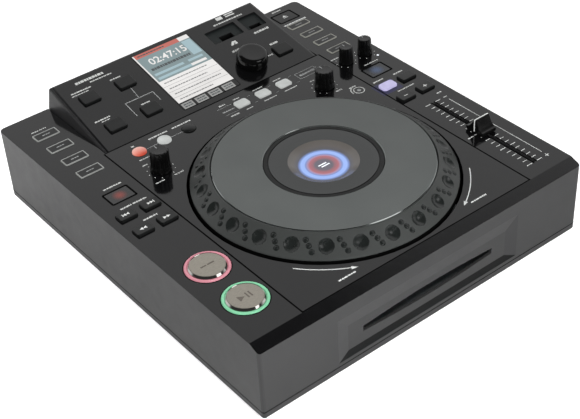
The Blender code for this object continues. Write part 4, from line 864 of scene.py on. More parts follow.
profile = [(PLATE_RADIUS + LIP_GAP, RING_TOP - 4 * MM), (PLATE_RADIUS + LIP_GAP, RING_TOP - 0.4 * MM),
           (PLATE_RADIUS + 1.5 * LIP_GAP, RING_TOP), (PLATE_RADIUS + 2.4 * LIP_GAP, RING_TOP)]
profile += [cone_point(n / CONE_STEPS) for n in range(CONE_STEPS + 1)]
profile += [(RING_OUTER - 0.15 * MM, RING_EDGE_RISE), (RING_OUTER, RING_EDGE_RISE - 0.7 * MM),
            (RING_OUTER, RING_BOTTOM), (RING_OUTER - RING_WALL, RING_BOTTOM),
            (RING_OUTER - RING_WALL, RING_EDGE_RISE - RING_WALL),
            (PLATE_RADIUS + 2 * MM, RING_TOP - 6 * MM), (PLATE_RADIUS + LIP_GAP, RING_TOP - 4 * MM)]
ring = start_turned("dimpled_ring", profile, WHEEL_STEPS)
for vert in ring.data.vertices:
    along, off_cone, to_dimple, to_knob = in_pattern(vert.co)
    if abs(off_cone) <= HAIR and 0 <= along <= cone_length:
        outwards = Vector((vert.co.x, vert.co.y, 0)).normalized() * cone_normal.x
        vert.co += ring_push(to_dimple, to_knob) * (outwards + Vector((0, 0, cone_normal.z)))
hand_over(ring, "jog_wheel", wheel_abs, "wheel_ring", "jog_ring")
# The bowls, the knobs and their grooves are painted darker as shade.
paint_faces(ring, bowl_shade_abs, is_polished_with_shade)
# The outer wall in the gap is painted black as shade.
paint_faces(ring, black_painted_shade_and_print, lambda face: math.hypot(face.center.x, face.center.y) > RING_OUTER - HAIR)
smooth(shift(ring, wheel_centre), 40)
print("jog ring has", len(ring.data.polygons), "faces")

# %% [markdown]
# ## The touch plate
#
# The plate is a thin aluminium disc under a slip-free film, dull and even, like a record without
# grooves. A very fine grain in two sizes keeps it from looking like flat paint, and a light edge
# shows where the metal is cut.

# %% Touch plate
film, tree, shader, place = start_material("slipmat_film_on_aluminium")
weave = add_node(tree, "ShaderNodeTexNoise", {"Vector": place, "Scale": 1 / (0.7 * MM), "Detail": 3})
cloud = add_node(tree, "ShaderNodeTexNoise", {"Vector": place, "Scale": 1 / (40 * MM), "Detail": 2})
blend = add_node(tree, "ShaderNodeMath", {0: weave.outputs[0], 1: cloud.outputs[0]},
                 operation="MULTIPLY")
tone = add_node(tree, "ShaderNodeMix", {0: blend.outputs[0], 6: linear("#505453"), 7: linear("#686b69")},
                data_type="RGBA")
bump = add_node(tree, "ShaderNodeBump", {"Strength": 0.15, "Distance": 0.1 * MM,
                                         "Height": weave.outputs[0]})
feed(shader, {"Base Color": tone.outputs[2], "Normal": bump.outputs[0], "Roughness": 0.5})

WINDOW_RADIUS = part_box("jog_display")[1].x
PLATE_THICK = 2 * MM
CUP_FLOOR = 6.4 * MM
CUP_THICK = 2 * MM
SLEEVE_RADIUS = 16.3 * MM
SLEEVE_THICK = 4 * MM
SLEEVE_FOOT = -12 * MM
EDGE_CUT = 0.5 * MM
hole = WINDOW_RADIUS + PLAY
profile = [(hole, CUP_FLOOR), (hole, PLATE_TOP - EDGE_CUT / 2), (hole + EDGE_CUT / 2, PLATE_TOP),
           (PLATE_RADIUS - EDGE_CUT, PLATE_TOP), (PLATE_RADIUS, PLATE_TOP - EDGE_CUT),
           (PLATE_RADIUS, PLATE_TOP - PLATE_THICK), (WINDOW_RADIUS + CUP_THICK, PLATE_TOP - PLATE_THICK),
           (WINDOW_RADIUS + CUP_THICK, CUP_FLOOR - CUP_THICK),
           (SLEEVE_RADIUS + SLEEVE_THICK, CUP_FLOOR - CUP_THICK),
           (SLEEVE_RADIUS + SLEEVE_THICK, SLEEVE_FOOT), (SLEEVE_RADIUS, SLEEVE_FOOT),
           (SLEEVE_RADIUS, CUP_FLOOR), (hole, CUP_FLOOR)]
plate = turn_at("touch_plate", profile, 256, wheel_centre, 25)
hand_over(plate, "jog_wheel", film, "wheel_plate", "jog_plate")
# The cut edges are the only faces of the plate that slope.
paint_faces(plate, cut_edge, lambda face: 0.2 < face.normal.z < 0.95)
print("touch plate of", round(2 * PLATE_RADIUS / MM, 1), "mm")

# %% [markdown]
# ## The round display
#
# Inside the plate sits a fixed window: a dull rim, a smoked band, and a shallow bowl that glows from
# a ring of LEDs. The glow falls off with the distance from the middle, so its colour comes from a
# ramp over the radius, read from Object coordinates that a Mapping node centres.

# %% Round display
BOWL_RADIUS = 28.3 * MM
BOWL_FLOOR_RADIUS = 21.5 * MM
BOWL_RISE = 10.5 * MM
RIM_WIDTH = 4.2 * MM
RIM_GROOVE = 0.5 * MM
GLASS_TOP = PLATE_TOP - 0.6 * MM
GLASS_FOOT = CUP_FLOOR + 2.3 * MM
RING_STOPS = ((0.0, "#5c5a62", "#474a5c"), (6.8, "#5c5a62", "#4a4450"), (8.6, "#7a5a62", "#7c4c54"),
              (11.4, "#8a5a62", "#a0545c"), (13.0, "#8a7a90", "#8c7494"), (14.4, "#6a78a8", "#6478b0"),
              (15.4, "#8399c8", "#809ad6"), (18.0, "#8399c8", "#84a0da"), (19.3, "#6a7cb0", "#5870a4"),
              (20.8, "#5b5a5c", "#242a40"), (24.0, "#66625e", "#101116"), (28.2, "#615d59", "#000000"),
              (28.5, "#2e3030", "#000000"), (43.0, "#303232", "#000000"), (43.4, "#0b0b0c", "#000000"))
RING_REACH = 48

rim = WINDOW_RADIUS - RIM_WIDTH
profile = [(0, BOWL_RISE), (BOWL_FLOOR_RADIUS, BOWL_RISE), (BOWL_RADIUS - 0.3 * MM, GLASS_TOP - 0.25 * MM),
           (BOWL_RADIUS, GLASS_TOP), (rim, GLASS_TOP), (rim + 0.1 * MM, GLASS_TOP - RIM_GROOVE),
           (rim + 0.7 * MM, GLASS_TOP - RIM_GROOVE), (rim + 0.8 * MM, GLASS_TOP),
           (WINDOW_RADIUS - 0.3 * MM, GLASS_TOP), (WINDOW_RADIUS, GLASS_TOP - 0.3 * MM),
           (WINDOW_RADIUS, GLASS_FOOT), (0, GLASS_FOOT)]
display = turn_at("round_display", profile, 192, wheel_centre, 25)


def ring_ramp(tree, radius, column):
    """A ramp over the radius with the colours of one column of the stops."""
    ramp = add_node(tree, "ShaderNodeValToRGB", {"Fac": radius})
    while len(ramp.color_ramp.elements) < len(RING_STOPS):
        ramp.color_ramp.elements.new(0.5)
    for element, stop in zip(ramp.color_ramp.elements, RING_STOPS):
        element.position = stop[0] / RING_REACH
    for element, stop in zip(ramp.color_ramp.elements, RING_STOPS):
        element.color = linear(stop[column])
    return ramp


glow, tree, shader, place = start_material("display_polycarbonate_with_led_ring")
centred = add_node(tree, "ShaderNodeMapping", {"Vector": place, "Location": -wheel_centre})
flat = add_node(tree, "ShaderNodeVectorMath", {0: centred.outputs[0], 1: (1, 1, 0)},
                operation="MULTIPLY")
length = add_node(tree, "ShaderNodeVectorMath", {0: flat.outputs[0]}, operation="LENGTH")
radius = add_node(tree, "ShaderNodeMath", {0: length.outputs["Value"], 1: RING_REACH * MM},
                  operation="DIVIDE")
body_ramp = ring_ramp(tree, radius.outputs[0], 1)
glow_ramp = ring_ramp(tree, radius.outputs[0], 2)
dust = add_node(tree, "ShaderNodeTexNoise", {"Vector": place, "Scale": 1 / (1.2 * MM), "Detail": 4})
gloss = add_node(tree, "ShaderNodeMapRange", {"Value": dust.outputs[0], "To Min": 0.16, "To Max": 0.3})
feed(shader, {"Base Color": body_ramp.outputs[0], "Emission Color": glow_ramp.outputs[0],
              "Roughness": gloss.outputs[0], "Emission Strength": 0.62})
hand_over(display, "housing", glow, "window", "jog_display")
paint_faces(display, dull_black_and_shade_abs, lambda face: off_axis(face.center, wheel_centre) > rim)
print("display of", round(2 * WINDOW_RADIUS / MM, 1), "mm with", len(RING_STOPS), "colour stops")

# %% [markdown]
# ## Key caps
#
# Every key is a cap in its own hole, with a wider flange under the deck that stops it from falling
# out. Only the cap shows, so the size of the cap is the node's size less its flange. The console's
# keys stand square to the slope, and are modelled in the console's own plane.

# %% Key caps
KEY_FLANGE = 0.7 * MM
KEY_CORNER = 1.3 * MM
KEY_EDGE = 0.7 * MM


def cap_corners(node, plane):
    """Lowest and highest corner of a key's cap, in the plane that carries it."""
    flat = plane.inverted()
    points = [flat @ vert.co for vert in frame["nodes"][node].data.vertices]
    flange = Vector((KEY_FLANGE, KEY_FLANGE, 0))
    low = Vector([min(point[axis] for point in points) for axis in range(3)]) + flange
    high = Vector([max(point[axis] for point in points) for axis in range(3)]) - flange
    return low, high


def cap_middle(node, plane):
    """The middle of a cap's top, in the plane that carries it."""
    low, high = cap_corners(node, plane)
    return Vector(((low.x + high.x) / 2, (low.y + high.y) / 2, high.z))


def key_cap(node, plane, corner, edge, material, slot):
    """A cap with rounded corners and a soft edge round its flat top."""
    low, high = cap_corners(node, plane)
    cap = start_box(node + "_cap", low, high)
    round_uprights(cap, corner)
    soften(cap, edge, 3)
    shift(cap, plane)
    return hand_over(cap, body_of(node), material, slot, node)


BLACK_KEYS = ("search_back_key", "search_forward_key", "track_back_key", "track_next_key",
              "tempo_range_key", "tempo_minus_key", "tempo_plus_key")
CONSOLE_KEYS = ("menu_key_1", "menu_key_2", "menu_key_3", "menu_key_4", "back_key")
PADS = ("hot_cue_pad_1", "hot_cue_pad_2", "hot_cue_pad_3")
for node in BLACK_KEYS:
    key_cap(node, on_deck, KEY_CORNER, KEY_EDGE, key_abs, "key")
for node in CONSOLE_KEYS:
    key_cap(node, on_console, KEY_CORNER, KEY_EDGE, key_abs, "key")
key_cap("key_lock_key", on_deck, 2 * KEY_CORNER, KEY_EDGE, violet_glow, "lit_violet_key")
for node in PADS:
    key_cap(node, on_deck, 2 * KEY_CORNER, 0.5 * KEY_EDGE, pad_glow, "lit_key")
print("key caps:", len(BLACK_KEYS + CONSOLE_KEYS + PADS) + 1)

# %% [markdown]
# ## Keys with a lit rim
#
# The source and mode keys are flat. A dark plate sits on a block of milky plastic that is a little
# larger, so an even line of light runs round it. One inset of the top face gives both: the outer
# ring is the milky block, and the middle, one step down, is the plate.

# %% Rimmed keys
RIM = 0.8 * MM
RIM_STEP = 0.12 * MM
LEVEL = 0.99


def rimmed_key(node, glow):
    """A flat key whose rim shows the lit plastic under its dark plate."""
    low, high = cap_corners(node, on_deck)
    cap = start_box(node + "_cap", low, high)
    round_uprights(cap, 0.4 * KEY_CORNER, 2)
    choose(cap, "FACE", lambda face: face.normal.z > LEVEL)
    bpy.ops.mesh.inset(thickness=RIM)
    bpy.ops.transform.translate(value=(0, 0, -RIM_STEP))
    leave()
    hand_over(cap, body_of(node), glow, "key", node)
    paint_faces(cap, key_abs, lambda face: face.normal.z > LEVEL and face.center.z < high.z - RIM_STEP / 2)
    return shift(cap, on_deck)


for number in (1, 2, 3, 4):
    rimmed_key("source_key_%d" % number, edge_glow)
    rimmed_key("mode_key_%d" % number, warm_edge_glow)
print("keys with a lit rim:", 2 * number)

# %% [markdown]
# ## Smoked windows
#
# Three keys lie flush in a guarded hollow, so that a hand that slides over them doesn't press them.
# Two of them are smoked polycarbonate, and their LED shows as a soft blot in the middle. The blot is
# a smooth fall of the emission with the distance from the key's middle. The faint haze in the gloss
# has specks of 2 mm.

# %% Flush keys


def smoked_window(name, node, body, glow, strength, reach):
    """Smoked polycarbonate with a lit blot in a key's middle: the glow fades out at the reach."""
    material, tree, shader, place = start_material(name)
    middle = on_deck @ cap_middle(node, on_deck)
    centred = add_node(tree, "ShaderNodeMapping", {"Vector": place, "Location": -middle})
    length = add_node(tree, "ShaderNodeVectorMath", {0: centred.outputs[0]}, operation="LENGTH")
    fall = add_node(tree, "ShaderNodeMapRange", {"Value": length.outputs["Value"], "From Min": 0,
                                                 "From Max": reach, "To Min": strength, "To Max": 0},
                    interpolation_type="SMOOTHSTEP")
    haze = add_node(tree, "ShaderNodeTexNoise", {"Vector": place, "Scale": 1 / (2 * MM), "Detail": 3})
    gloss = add_node(tree, "ShaderNodeMapRange", {"Value": haze.outputs[0], "To Min": 0.2, "To Max": 0.34})
    feed(shader, {"Base Color": linear(body), "Roughness": gloss.outputs[0], "IOR": 1.58,
                  "Emission Color": linear(glow), "Emission Strength": fall.outputs[0]})
    return material


reverse_window = smoked_window("smoked_window_with_red_led", "reverse_key", "#232324", "#e0482c", 0.24,
                               7.5 * MM)
vinyl_window = smoked_window("smoked_window_with_blue_led", "vinyl_mode_key", "#1c1f24", "#5f8fd8", 0.16,
                             8.5 * MM)
FLUSH_KEYS = {"reverse_key": (reverse_window, "smoked_key"), "vinyl_mode_key": (vinyl_window, "smoked_key"),
              "eject_key": (key_abs, "key")}
for node, (material, slot) in FLUSH_KEYS.items():
    key_cap(node, on_deck, 0.5 * KEY_CORNER, 0.35 * KEY_EDGE, material, slot)
print("flush keys:", len(FLUSH_KEYS))

# %% [markdown]
# ## Round keys
#
# The three loop keys are low domes, and one profile serves them all. Two are milky and lit, and the
# third is black. The red key glows red from its LED, and towards the back its glow fades to a pale
# pink that is a painted highlight.

# %% Round keys
DOME_STEPS = 8
DOME_EDGE = 0.5 * MM
CAP_DEPTH = 3.5 * MM
RED_REACH = 5.4 * MM


def dome_key(node, material, slot):
    """A low dome on a straight collar."""
    middle = cap_middle(node, on_deck)
    radius = middle.x - cap_corners(node, on_deck)[0].x
    arc = [math.radians(90 * n / DOME_STEPS) for n in range(DOME_STEPS + 1)]
    profile = [(radius * math.sin(turn), DOME_EDGE + (middle.z - DOME_EDGE) * math.cos(turn))
               for turn in arc]
    profile += [(radius, -CAP_DEPTH), (0, -CAP_DEPTH)]
    dome = turn_at(node + "_dome", profile, 64, over(on_deck, middle), 40)
    return hand_over(dome, body_of(node), material, slot, node)


red_glow_and_highlight, tree, shader, place = start_material("loop_red_glow_painted_highlight")
centred = add_node(tree, "ShaderNodeMapping",
                   {"Vector": place, "Location": -(on_deck @ cap_middle("loop_in_key", on_deck))})
to_back = add_node(tree, "ShaderNodeSeparateXYZ", {"Vector": centred.outputs[0]}).outputs["Y"]
# Painted highlight: the glow turns pale pink towards the back.
painted_highlight_fade = add_node(tree, "ShaderNodeMapRange", {"Value": to_back, "From Min": -RED_REACH,
                                             "From Max": RED_REACH})
tone = add_node(tree, "ShaderNodeMix", {0: painted_highlight_fade.outputs[0], 6: linear("#f0543c"), 7: linear("#f8d8d0")},
                data_type="RGBA")
feed(shader, {"Base Color": linear("#a06858"), "Roughness": 0.3, "Emission Color": tone.outputs[2],
              "Emission Strength": 0.55})
DOMES = (("loop_in_key", red_glow_and_highlight, "lit_red_key"), ("loop_out_key", pad_glow, "lit_key"),
         ("reloop_key", key_abs, "key"))
for node, material, slot in DOMES:
    dome_key(node, material, slot)
print("round keys:", len(DOMES))

# %% [markdown]
# ## The two large buttons
#
# Each large button is a nickel-plated cap with a brushed face inside a polished bevel, and stands in
# a ring of milky plastic that a two-colour LED lights. The bevel mirrors the studio, which is why it
# is dark in one place and bright in another. A shallow groove parts the bevel from the face.

# %% Large buttons
BIG_RADIUS = 14.9 * MM
BIG_RISE = 2.3 * MM
BIG_FOOT = -5 * MM
BEVEL_WIDTH = 1.2 * MM
BEVEL_DROP = 1.2 * MM
GROOVE = 0.25 * MM
GUIDE_OUTER = 17.5 * MM
GUIDE_RISE = 1.1 * MM
GUIDE_EDGE_RISE = 0.7 * MM
GUIDE_EDGE = 0.4 * MM
GUIDE_DEPTH = 4.0 * MM


def big_button(node, glow, guide_name):
    """A turned cap with a brushed face and a polished bevel, and the lit ring round it."""
    middle = cap_middle(node, on_deck)
    here = over(on_deck, middle)
    face_radius = BIG_RADIUS - BEVEL_WIDTH
    profile = [(0, BIG_RISE), (face_radius - 2 * GROOVE, BIG_RISE),
               (face_radius - GROOVE, BIG_RISE - GROOVE), (face_radius, BIG_RISE),
               (BIG_RADIUS - 0.2 * MM, BIG_RISE - BEVEL_DROP),
               (BIG_RADIUS, BIG_RISE - BEVEL_DROP - 0.25 * MM), (BIG_RADIUS, BIG_FOOT), (0, BIG_FOOT)]
    cap = turn_at(node + "_cap", profile, 96, here, 20)
    hand_over(cap, body_of(node), brushed_nickel, "cap_metal", node)
    paint_faces(cap, polished_nickel, lambda face: off_axis(face.center, middle) > face_radius - GROOVE)
    inner = BIG_RADIUS + PLAY
    profile = [(inner, -GUIDE_DEPTH), (inner, GUIDE_RISE - 0.3 * MM), (inner + 0.3 * MM, GUIDE_RISE),
               ((inner + GUIDE_OUTER) / 2, GUIDE_RISE),
               (GUIDE_OUTER - 0.6 * MM, GUIDE_EDGE_RISE + GUIDE_EDGE),
               (GUIDE_OUTER, GUIDE_EDGE_RISE - GUIDE_EDGE), (GUIDE_OUTER, -GUIDE_DEPTH),
               (inner, -GUIDE_DEPTH)]
    guide = turn_at(guide_name, profile, 96, here, 50)
    hand_over(guide, "housing", glow, "light_guide", "light_guide")


big_button("cue_button", cue_glow, "cue_light_ring")
big_button("play_pause_button", play_glow, "play_light_ring")
print("large buttons stand", round(BIG_RISE / MM, 1), "mm proud")

# %% [markdown]
# ## Rotary knobs
#
# The knobs are tall and slim, with a fluted grip over a wider skirt. A profile is turned first. Then
# every point of the grip moves inwards with its angle, which cuts the flutes in one go. A raised
# line marks where each knob points.

# %% Fluted knobs
KNOB_STEPS = 96
KNOB_LIFT = 0.8 * MM
FLUTES = 12
FLUTE_DEPTH_SHARE = 0.07
SKIRT_SHARE = 0.24
GRIP_SHARE = 0.88
POINTER_WIDTH = 0.7 * MM


def cut_flutes(knob, neck, grip):
    """Press flutes into the grip: its outer points above the neck move in by a wave."""
    for vert in knob.data.vertices:
        if vert.co.z > neck - 0.1 * MM and math.hypot(vert.co.x, vert.co.y) > grip - 1.2 * MM:
            wave = max(0, math.cos(FLUTES * math.atan2(vert.co.y, vert.co.x)))
            vert.co.x *= 1 - FLUTE_DEPTH_SHARE * wave ** 2
            vert.co.y *= 1 - FLUTE_DEPTH_SHARE * wave ** 2


def fluted_knob(node):
    """A fluted knob on its node's place, with its pointer to the back."""
    low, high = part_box(node)
    skirt = (high.x - low.x) / 2
    grip = skirt * GRIP_SHARE
    top = high.z - deck
    neck = KNOB_LIFT + SKIRT_SHARE * (top - KNOB_LIFT)
    profile = [(0, KNOB_LIFT), (skirt, KNOB_LIFT), (skirt, KNOB_LIFT + 0.8 * MM),
               (skirt - 0.2 * MM, neck - 1.2 * MM), (grip + 0.5 * MM, neck),
               (grip + 0.3 * MM, neck + 1.5 * MM), (grip + 0.15 * MM, (neck + top) / 2),
               (grip, top - 1.0 * MM), (grip - 0.35 * MM, top - 0.3 * MM), (grip - 1.0 * MM, top),
               (grip - 2.2 * MM, top - 0.15 * MM), (0, top - 0.15 * MM)]
    knob = start_turned(node + "_grip", profile, KNOB_STEPS)
    cut_flutes(knob, neck, grip)
    smooth(knob, 35)
    line = start_box(node + "_pointer", (-POINTER_WIDTH / 2, 0.35 * grip, top - 0.3 * MM),
                     (POINTER_WIDTH / 2, grip - 1.1 * MM, top))
    soften(line, 0.1 * MM, 2)
    for piece, material in ((knob, knob_abs), (line, dim_ink)):
        shift(piece, over(on_deck, box_middle(node)))
        hand_over(piece, body_of(node), material, "knob")
    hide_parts(node)


SCALE_DOTS = {"jog_weight_knob": 11, "touch_adjust_knob": 11, "stop_time_knob": 9, "start_time_knob": 9}
for node in SCALE_DOTS:
    fluted_knob(node)
print("rotary knobs:", len(SCALE_DOTS))

# %% [markdown]
# ## The browse knob
#
# This is the one large gloss knob. Its top is a shallow dish with a soft shoulder, and its side
# swells towards the foot. It is turned in the console's plane, so it leans back with the slope.

# %% Browse knob
BROWSE_PROFILE_MM = ((0, 1.2), (13.0, 1.2), (13.7, 1.7), (14.2, 3.2), (14.3, 4.6), (14.3, 6.2), (14.1, 8.0),
                     (13.7, 9.6), (13.1, 11.0), (12.3, 11.9), (11.3, 12.35), (10.2, 12.5), (9.0, 12.4),
                     (0, 12.0))
browse = turn_at("browse_grip", in_mm(BROWSE_PROFILE_MM), 128,
                 over(on_console, on_console.inverted() @ box_middle("browse_knob")), 40)
hand_over(browse, "browse_cap", browse_abs, "browse_knob", "browse_knob")
print("browse knob has", len(browse.data.polygons), "faces")

# %% [markdown]
# ## The pitch fader
#
# The fader cap is a saddle: two concave slopes rise to a ridge under the fingertip. Its side outline
# is drawn as a path and extruded across, and a white line runs over the ridge and down its left
# side, so it can be read against the scale from above. A steel stem holds it in its slot.

# %% Fader cap
fader_low, fader_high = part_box("pitch_fader")
fader_middle = box_middle("pitch_fader")
CAP_LIFT = 0.8 * MM
CAP_TOP = fader_high.z - deck
CAP_HALF_LENGTH = (fader_high.y - fader_low.y) / 2
CAP_HALF_WIDTH = (fader_high.x - fader_low.x) / 2
RIDGE_HALF = 1.1 * MM
SLOPE_POINTS = 9
SLOPE_POWER = 2.1
CAP_END_RISE = 4.2 * MM
LINE_HALF = 0.55 * MM
LINE_BEVEL = 0.21 * MM
STEM_WIDE_HALF = 1.1 * MM
STEM_LONG_HALF = 6 * MM

outline = [(-CAP_HALF_LENGTH, CAP_LIFT), (CAP_HALF_LENGTH, CAP_LIFT)]
for n in range(SLOPE_POINTS + 1):
    share = n / SLOPE_POINTS
    outline.append((CAP_HALF_LENGTH - share * (CAP_HALF_LENGTH - RIDGE_HALF),
                    CAP_END_RISE + (CAP_TOP - CAP_END_RISE) * share ** SLOPE_POWER))
outline += [(-y, z) for y, z in reversed(outline[2:])]
cap = start_prism("fader_saddle", outline, -CAP_HALF_WIDTH, CAP_HALF_WIDTH)
shift(cap, Matrix(((0, 0, 1, 0), (1, 0, 0, 0), (0, 1, 0, 0), (0, 0, 0, 1))))
soften(cap, 0.5 * MM, 3, 35)
top_line = start_box("fader_line", (-CAP_HALF_WIDTH + 0.5 * MM, -LINE_HALF, CAP_TOP - 0.2 * MM),
                     (CAP_HALF_WIDTH - 0.5 * MM, LINE_HALF, CAP_TOP + 0.02 * MM))
side_line = start_box("fader_line_side", (-CAP_HALF_WIDTH - 0.02 * MM, -LINE_HALF, CAP_LIFT + 1.5 * MM),
                      (-CAP_HALF_WIDTH + 0.2 * MM, LINE_HALF, CAP_TOP - 0.4 * MM))
corner_line = start_box("fader_line_corner", (-0.1 * MM, -LINE_HALF, -2 * LINE_BEVEL),
                        (0.14 * MM, LINE_HALF, 2 * LINE_BEVEL))
shift(corner_line, Matrix.Translation((-CAP_HALF_WIDTH + LINE_BEVEL, 0, CAP_TOP - LINE_BEVEL))
      @ Matrix.Rotation(math.radians(45), 4, "Y"))
for piece in (cap, top_line, side_line, corner_line):
    shift(piece, over(on_deck, fader_middle))
line = join("fader_line", [top_line, side_line, corner_line])
hand_over(line, "fader_cap", white_ink, "knob")
hand_over(cap, "fader_cap", knob_abs, "knob", "pitch_fader")
stem = start_box("fader_stem",
                 (fader_middle.x - STEM_WIDE_HALF, fader_middle.y - STEM_LONG_HALF, deck - 10 * MM),
                 (fader_middle.x + STEM_WIDE_HALF, fader_middle.y + STEM_LONG_HALF, deck + 1.5 * MM))
soften(stem, 0.2 * MM, 1)
hand_over(stem, "fader_cap", zinc_steel, "knob")
print("fader cap is", round(CAP_TOP / MM, 1), "mm high")

# %% [markdown]
# ## Screen printing
#
# The markings are screen-printed: a thin, slightly dull layer of white or grey ink on the gloss
# plastic. Each mark is a flat shape that stands 0.06 mm proud. Words are shown as rows of short
# bars, which read as small print from where the camera stands. One helper lays out such a row, one
# turns a line between two points into a bar, and one prints the bars on a plane.

# %% Printing helpers
WORD_LENGTHS = (2.6, 1.7, 3.2, 2.2, 1.4, 2.9)
WORD_GAP = 0.5
WORD_TALL = 1.6
SHORTEST_WORD = 0.4


def words(left, right, middle, tall=WORD_TALL):
    """A row of word-like bars between two places, in millimetres."""
    bars = []
    place = left
    while place < right - SHORTEST_WORD:
        length = min(WORD_LENGTHS[len(bars) % len(WORD_LENGTHS)], right - place)
        bars.append((place, place + length, middle, tall, 0))
        place += length + WORD_GAP
    return bars


def word_rows(*rows):
    """The bars of several rows of words."""
    return [bar for row in rows for bar in words(*row)]


def stroke(start, end, width=0.5):
    """A bar that runs from one point to another, in millimetres."""
    half = math.dist(start, end) / 2
    middle = (start[0] + end[0]) / 2
    turn = math.degrees(math.atan2(end[1] - start[1], end[0] - start[0]))
    return (middle - half, middle + half, (start[1] + end[1]) / 2, width, turn)


def frame_strokes(left, right, front, back, width=0.5):
    """The four bars of a rectangle."""
    corners = [(left, front), (right, front), (right, back), (left, back), (left, front)]
    return [stroke(a, b, width) for a, b in zip(corners, corners[1:])]


def print_bars(name, bars, plane, material, slot="gloss_housing", body="housing", lift=INK_LIFT):
    """Print bars, given in millimetres, on a plane."""
    sized = [(bar[0] * MM, bar[1] * MM, bar[2] * MM, bar[3] * MM, bar[4]) for bar in bars]
    piece = shift(start_bars(name, sized, -INK_LIFT, lift), plane)
    return hand_over(piece, body, material, slot)


def print_shapes(name, outlines, plane, material, slot="gloss_housing", body="housing"):
    """Print flat shapes, each an outline in millimetres, on a plane."""
    parts = [start_prism(name, in_mm(outline), -INK_LIFT, INK_LIFT) for outline in outlines]
    return hand_over(shift(join(name, parts), plane), body, material, slot)


print("a row of 20 mm has", len(words(0, 20, 0)), "words")

# %% [markdown]
# ## Markings on the deck
#
# The places are in millimetres from the middle of the body, and each row is written as its left and
# right end, its middle and its height. White ink names the keys, and grey ink joins keys that
# belong together.

# %% Deck print
white_bars = word_rows(
    (-143, -136.4, 155, 0.9), (-135.4, -129, 155, 0.9), (-141, -124.6, 46, 1.4), (-144.4, -134.2, 16),
    (-133, -120.7, 16), (-138.8, -126, -7.2), (-75, -56.5, 80.3), (-51.5, -32.6, 80.3),
    (-91.7, -88.3, 80.7, 1.6), (-97.3, -86.9, 60, 1.3), (-99.7, -94, 52, 1.3), (-87, -78, 25, 1.2),
    (-105, -96, 25.2, 1.2), (-3, 3.1, 79.6), (12.6, 18.6, 80, 1.2), (33.5, 44, 80, 1.1), (56, 64, 80, 1.1),
    (-4, 4.6, 60.6), (12.4, 19, 60.4, 1.2), (31.5, 45, 60.4, 1.1), (54, 67.6, 60.4, 1.1),
    (129.4, 139.8, 174.5), (115, 124, 71.3, 1.4), (131.5, 147, 44.8, 1.3), (118, 129, 18, 1.6),
    (140, 150, 16.6), (124.5, 142.7, -6.2, 1.2), (79, 84, 57.2, 1.0), (86, 92, 29.8, 1.5),
    (97, 104, 25.6, 1.5))
grey_bars = [
    stroke((-84.5, 70), (-71.8, 70.4), 0.45), stroke((-58.6, 70.6), (-47.4, 70.5), 0.45),
    *frame_strokes(76.5, 97.5, 66.3, 75.7, 0.5), *words(79, 95, 71, 2.2), *words(92, 98.5, 72.5, 0.6),
    *words(-6, 6.2, 69.6, 1.5), stroke((-7, 76.2), (8, 76.2), 0.3), stroke((-7, 64.4), (8, 64.4), 0.3)]
for x in (26, 48.8, 71.6):
    grey_bars += [stroke((x - 1.4, y), (x + 1.6, y), 0.3) for y in (76.4, 64.2)]
print_bars("deck_white_print", white_bars, on_deck, label_ink)
print_bars("deck_grey_print", grey_bars, on_deck, dim_ink)
print("printed bars:", len(white_bars) + len(grey_bars))

# %% [markdown]
# The fader has a scale of ticks on both sides of its slot. Every fifth tick is longer, as on a
# ruler, so the zero and the ends are found at a glance. Two short rows of print stand beside it,
# and a longer one over the mode keys.

# %% Fader scale
FADER_FRONT = -154.4
FADER_BACK = -39.3
TICKS = 20
TICK_EVERY = 5
TICK_LONG = 5.6
TICK_SHORT = 4.4
TICK_WIDTH = 0.6
SCALE_LEFT = 131.3
SCALE_RIGHT = 136.9
SIGN_X = 148.3
SIGN_HALF = 1.9

scale_bars = word_rows((122.8, 148.5, 147.4, 1.9), (146.6, 152, -31, 1.2), (118, 124, -97, 1.2))
for n in range(TICKS + 1):
    y = FADER_BACK + n * (FADER_FRONT - FADER_BACK) / TICKS
    reach = TICK_LONG if n % TICK_EVERY == 0 else TICK_SHORT
    scale_bars.append(stroke((SCALE_LEFT - reach, y), (SCALE_LEFT, y), TICK_WIDTH))
    scale_bars.append(stroke((SCALE_RIGHT, y), (SCALE_RIGHT + reach, y), TICK_WIDTH))
for y in (FADER_BACK, FADER_FRONT):
    scale_bars.append(stroke((SIGN_X - SIGN_HALF, y), (SIGN_X + SIGN_HALF, y), TICK_WIDTH))
scale_bars.append(stroke((SIGN_X, FADER_FRONT + SIGN_HALF), (SIGN_X, FADER_FRONT - SIGN_HALF), TICK_WIDTH))
print_bars("fader_scale", scale_bars, on_deck, white_ink)
print_bars("fader_scale_line", [stroke((SIGN_X, -44), (SIGN_X, -149), 0.5)], on_deck, white_ink)
print("ticks on each side of the fader:", TICKS + 1)

# %% [markdown]
# Black strips of painted shadow lie in the gaps round the centre plate, along the fader slot, round
# each flush key and round the two lit rings. They are matt, so they show as dark lines on the gloss
# deck. The violet key sits on a blue field, a painted glow of its light.

# %% Painted shadow lines
PAINTED_MARK_LIFT = 0.04 * MM
SHADOW_LINE_PLAY = 0.15
SHADOW_LINE_WIDE = 1.3
KEY_SHADOW_LINE = 1.7

panel_left, panel_right = panel_low.x / MM - SHADOW_LINE_PLAY, panel_high.x / MM + SHADOW_LINE_PLAY
panel_front, panel_back = panel_low.y / MM - SHADOW_LINE_PLAY, panel_high.y / MM
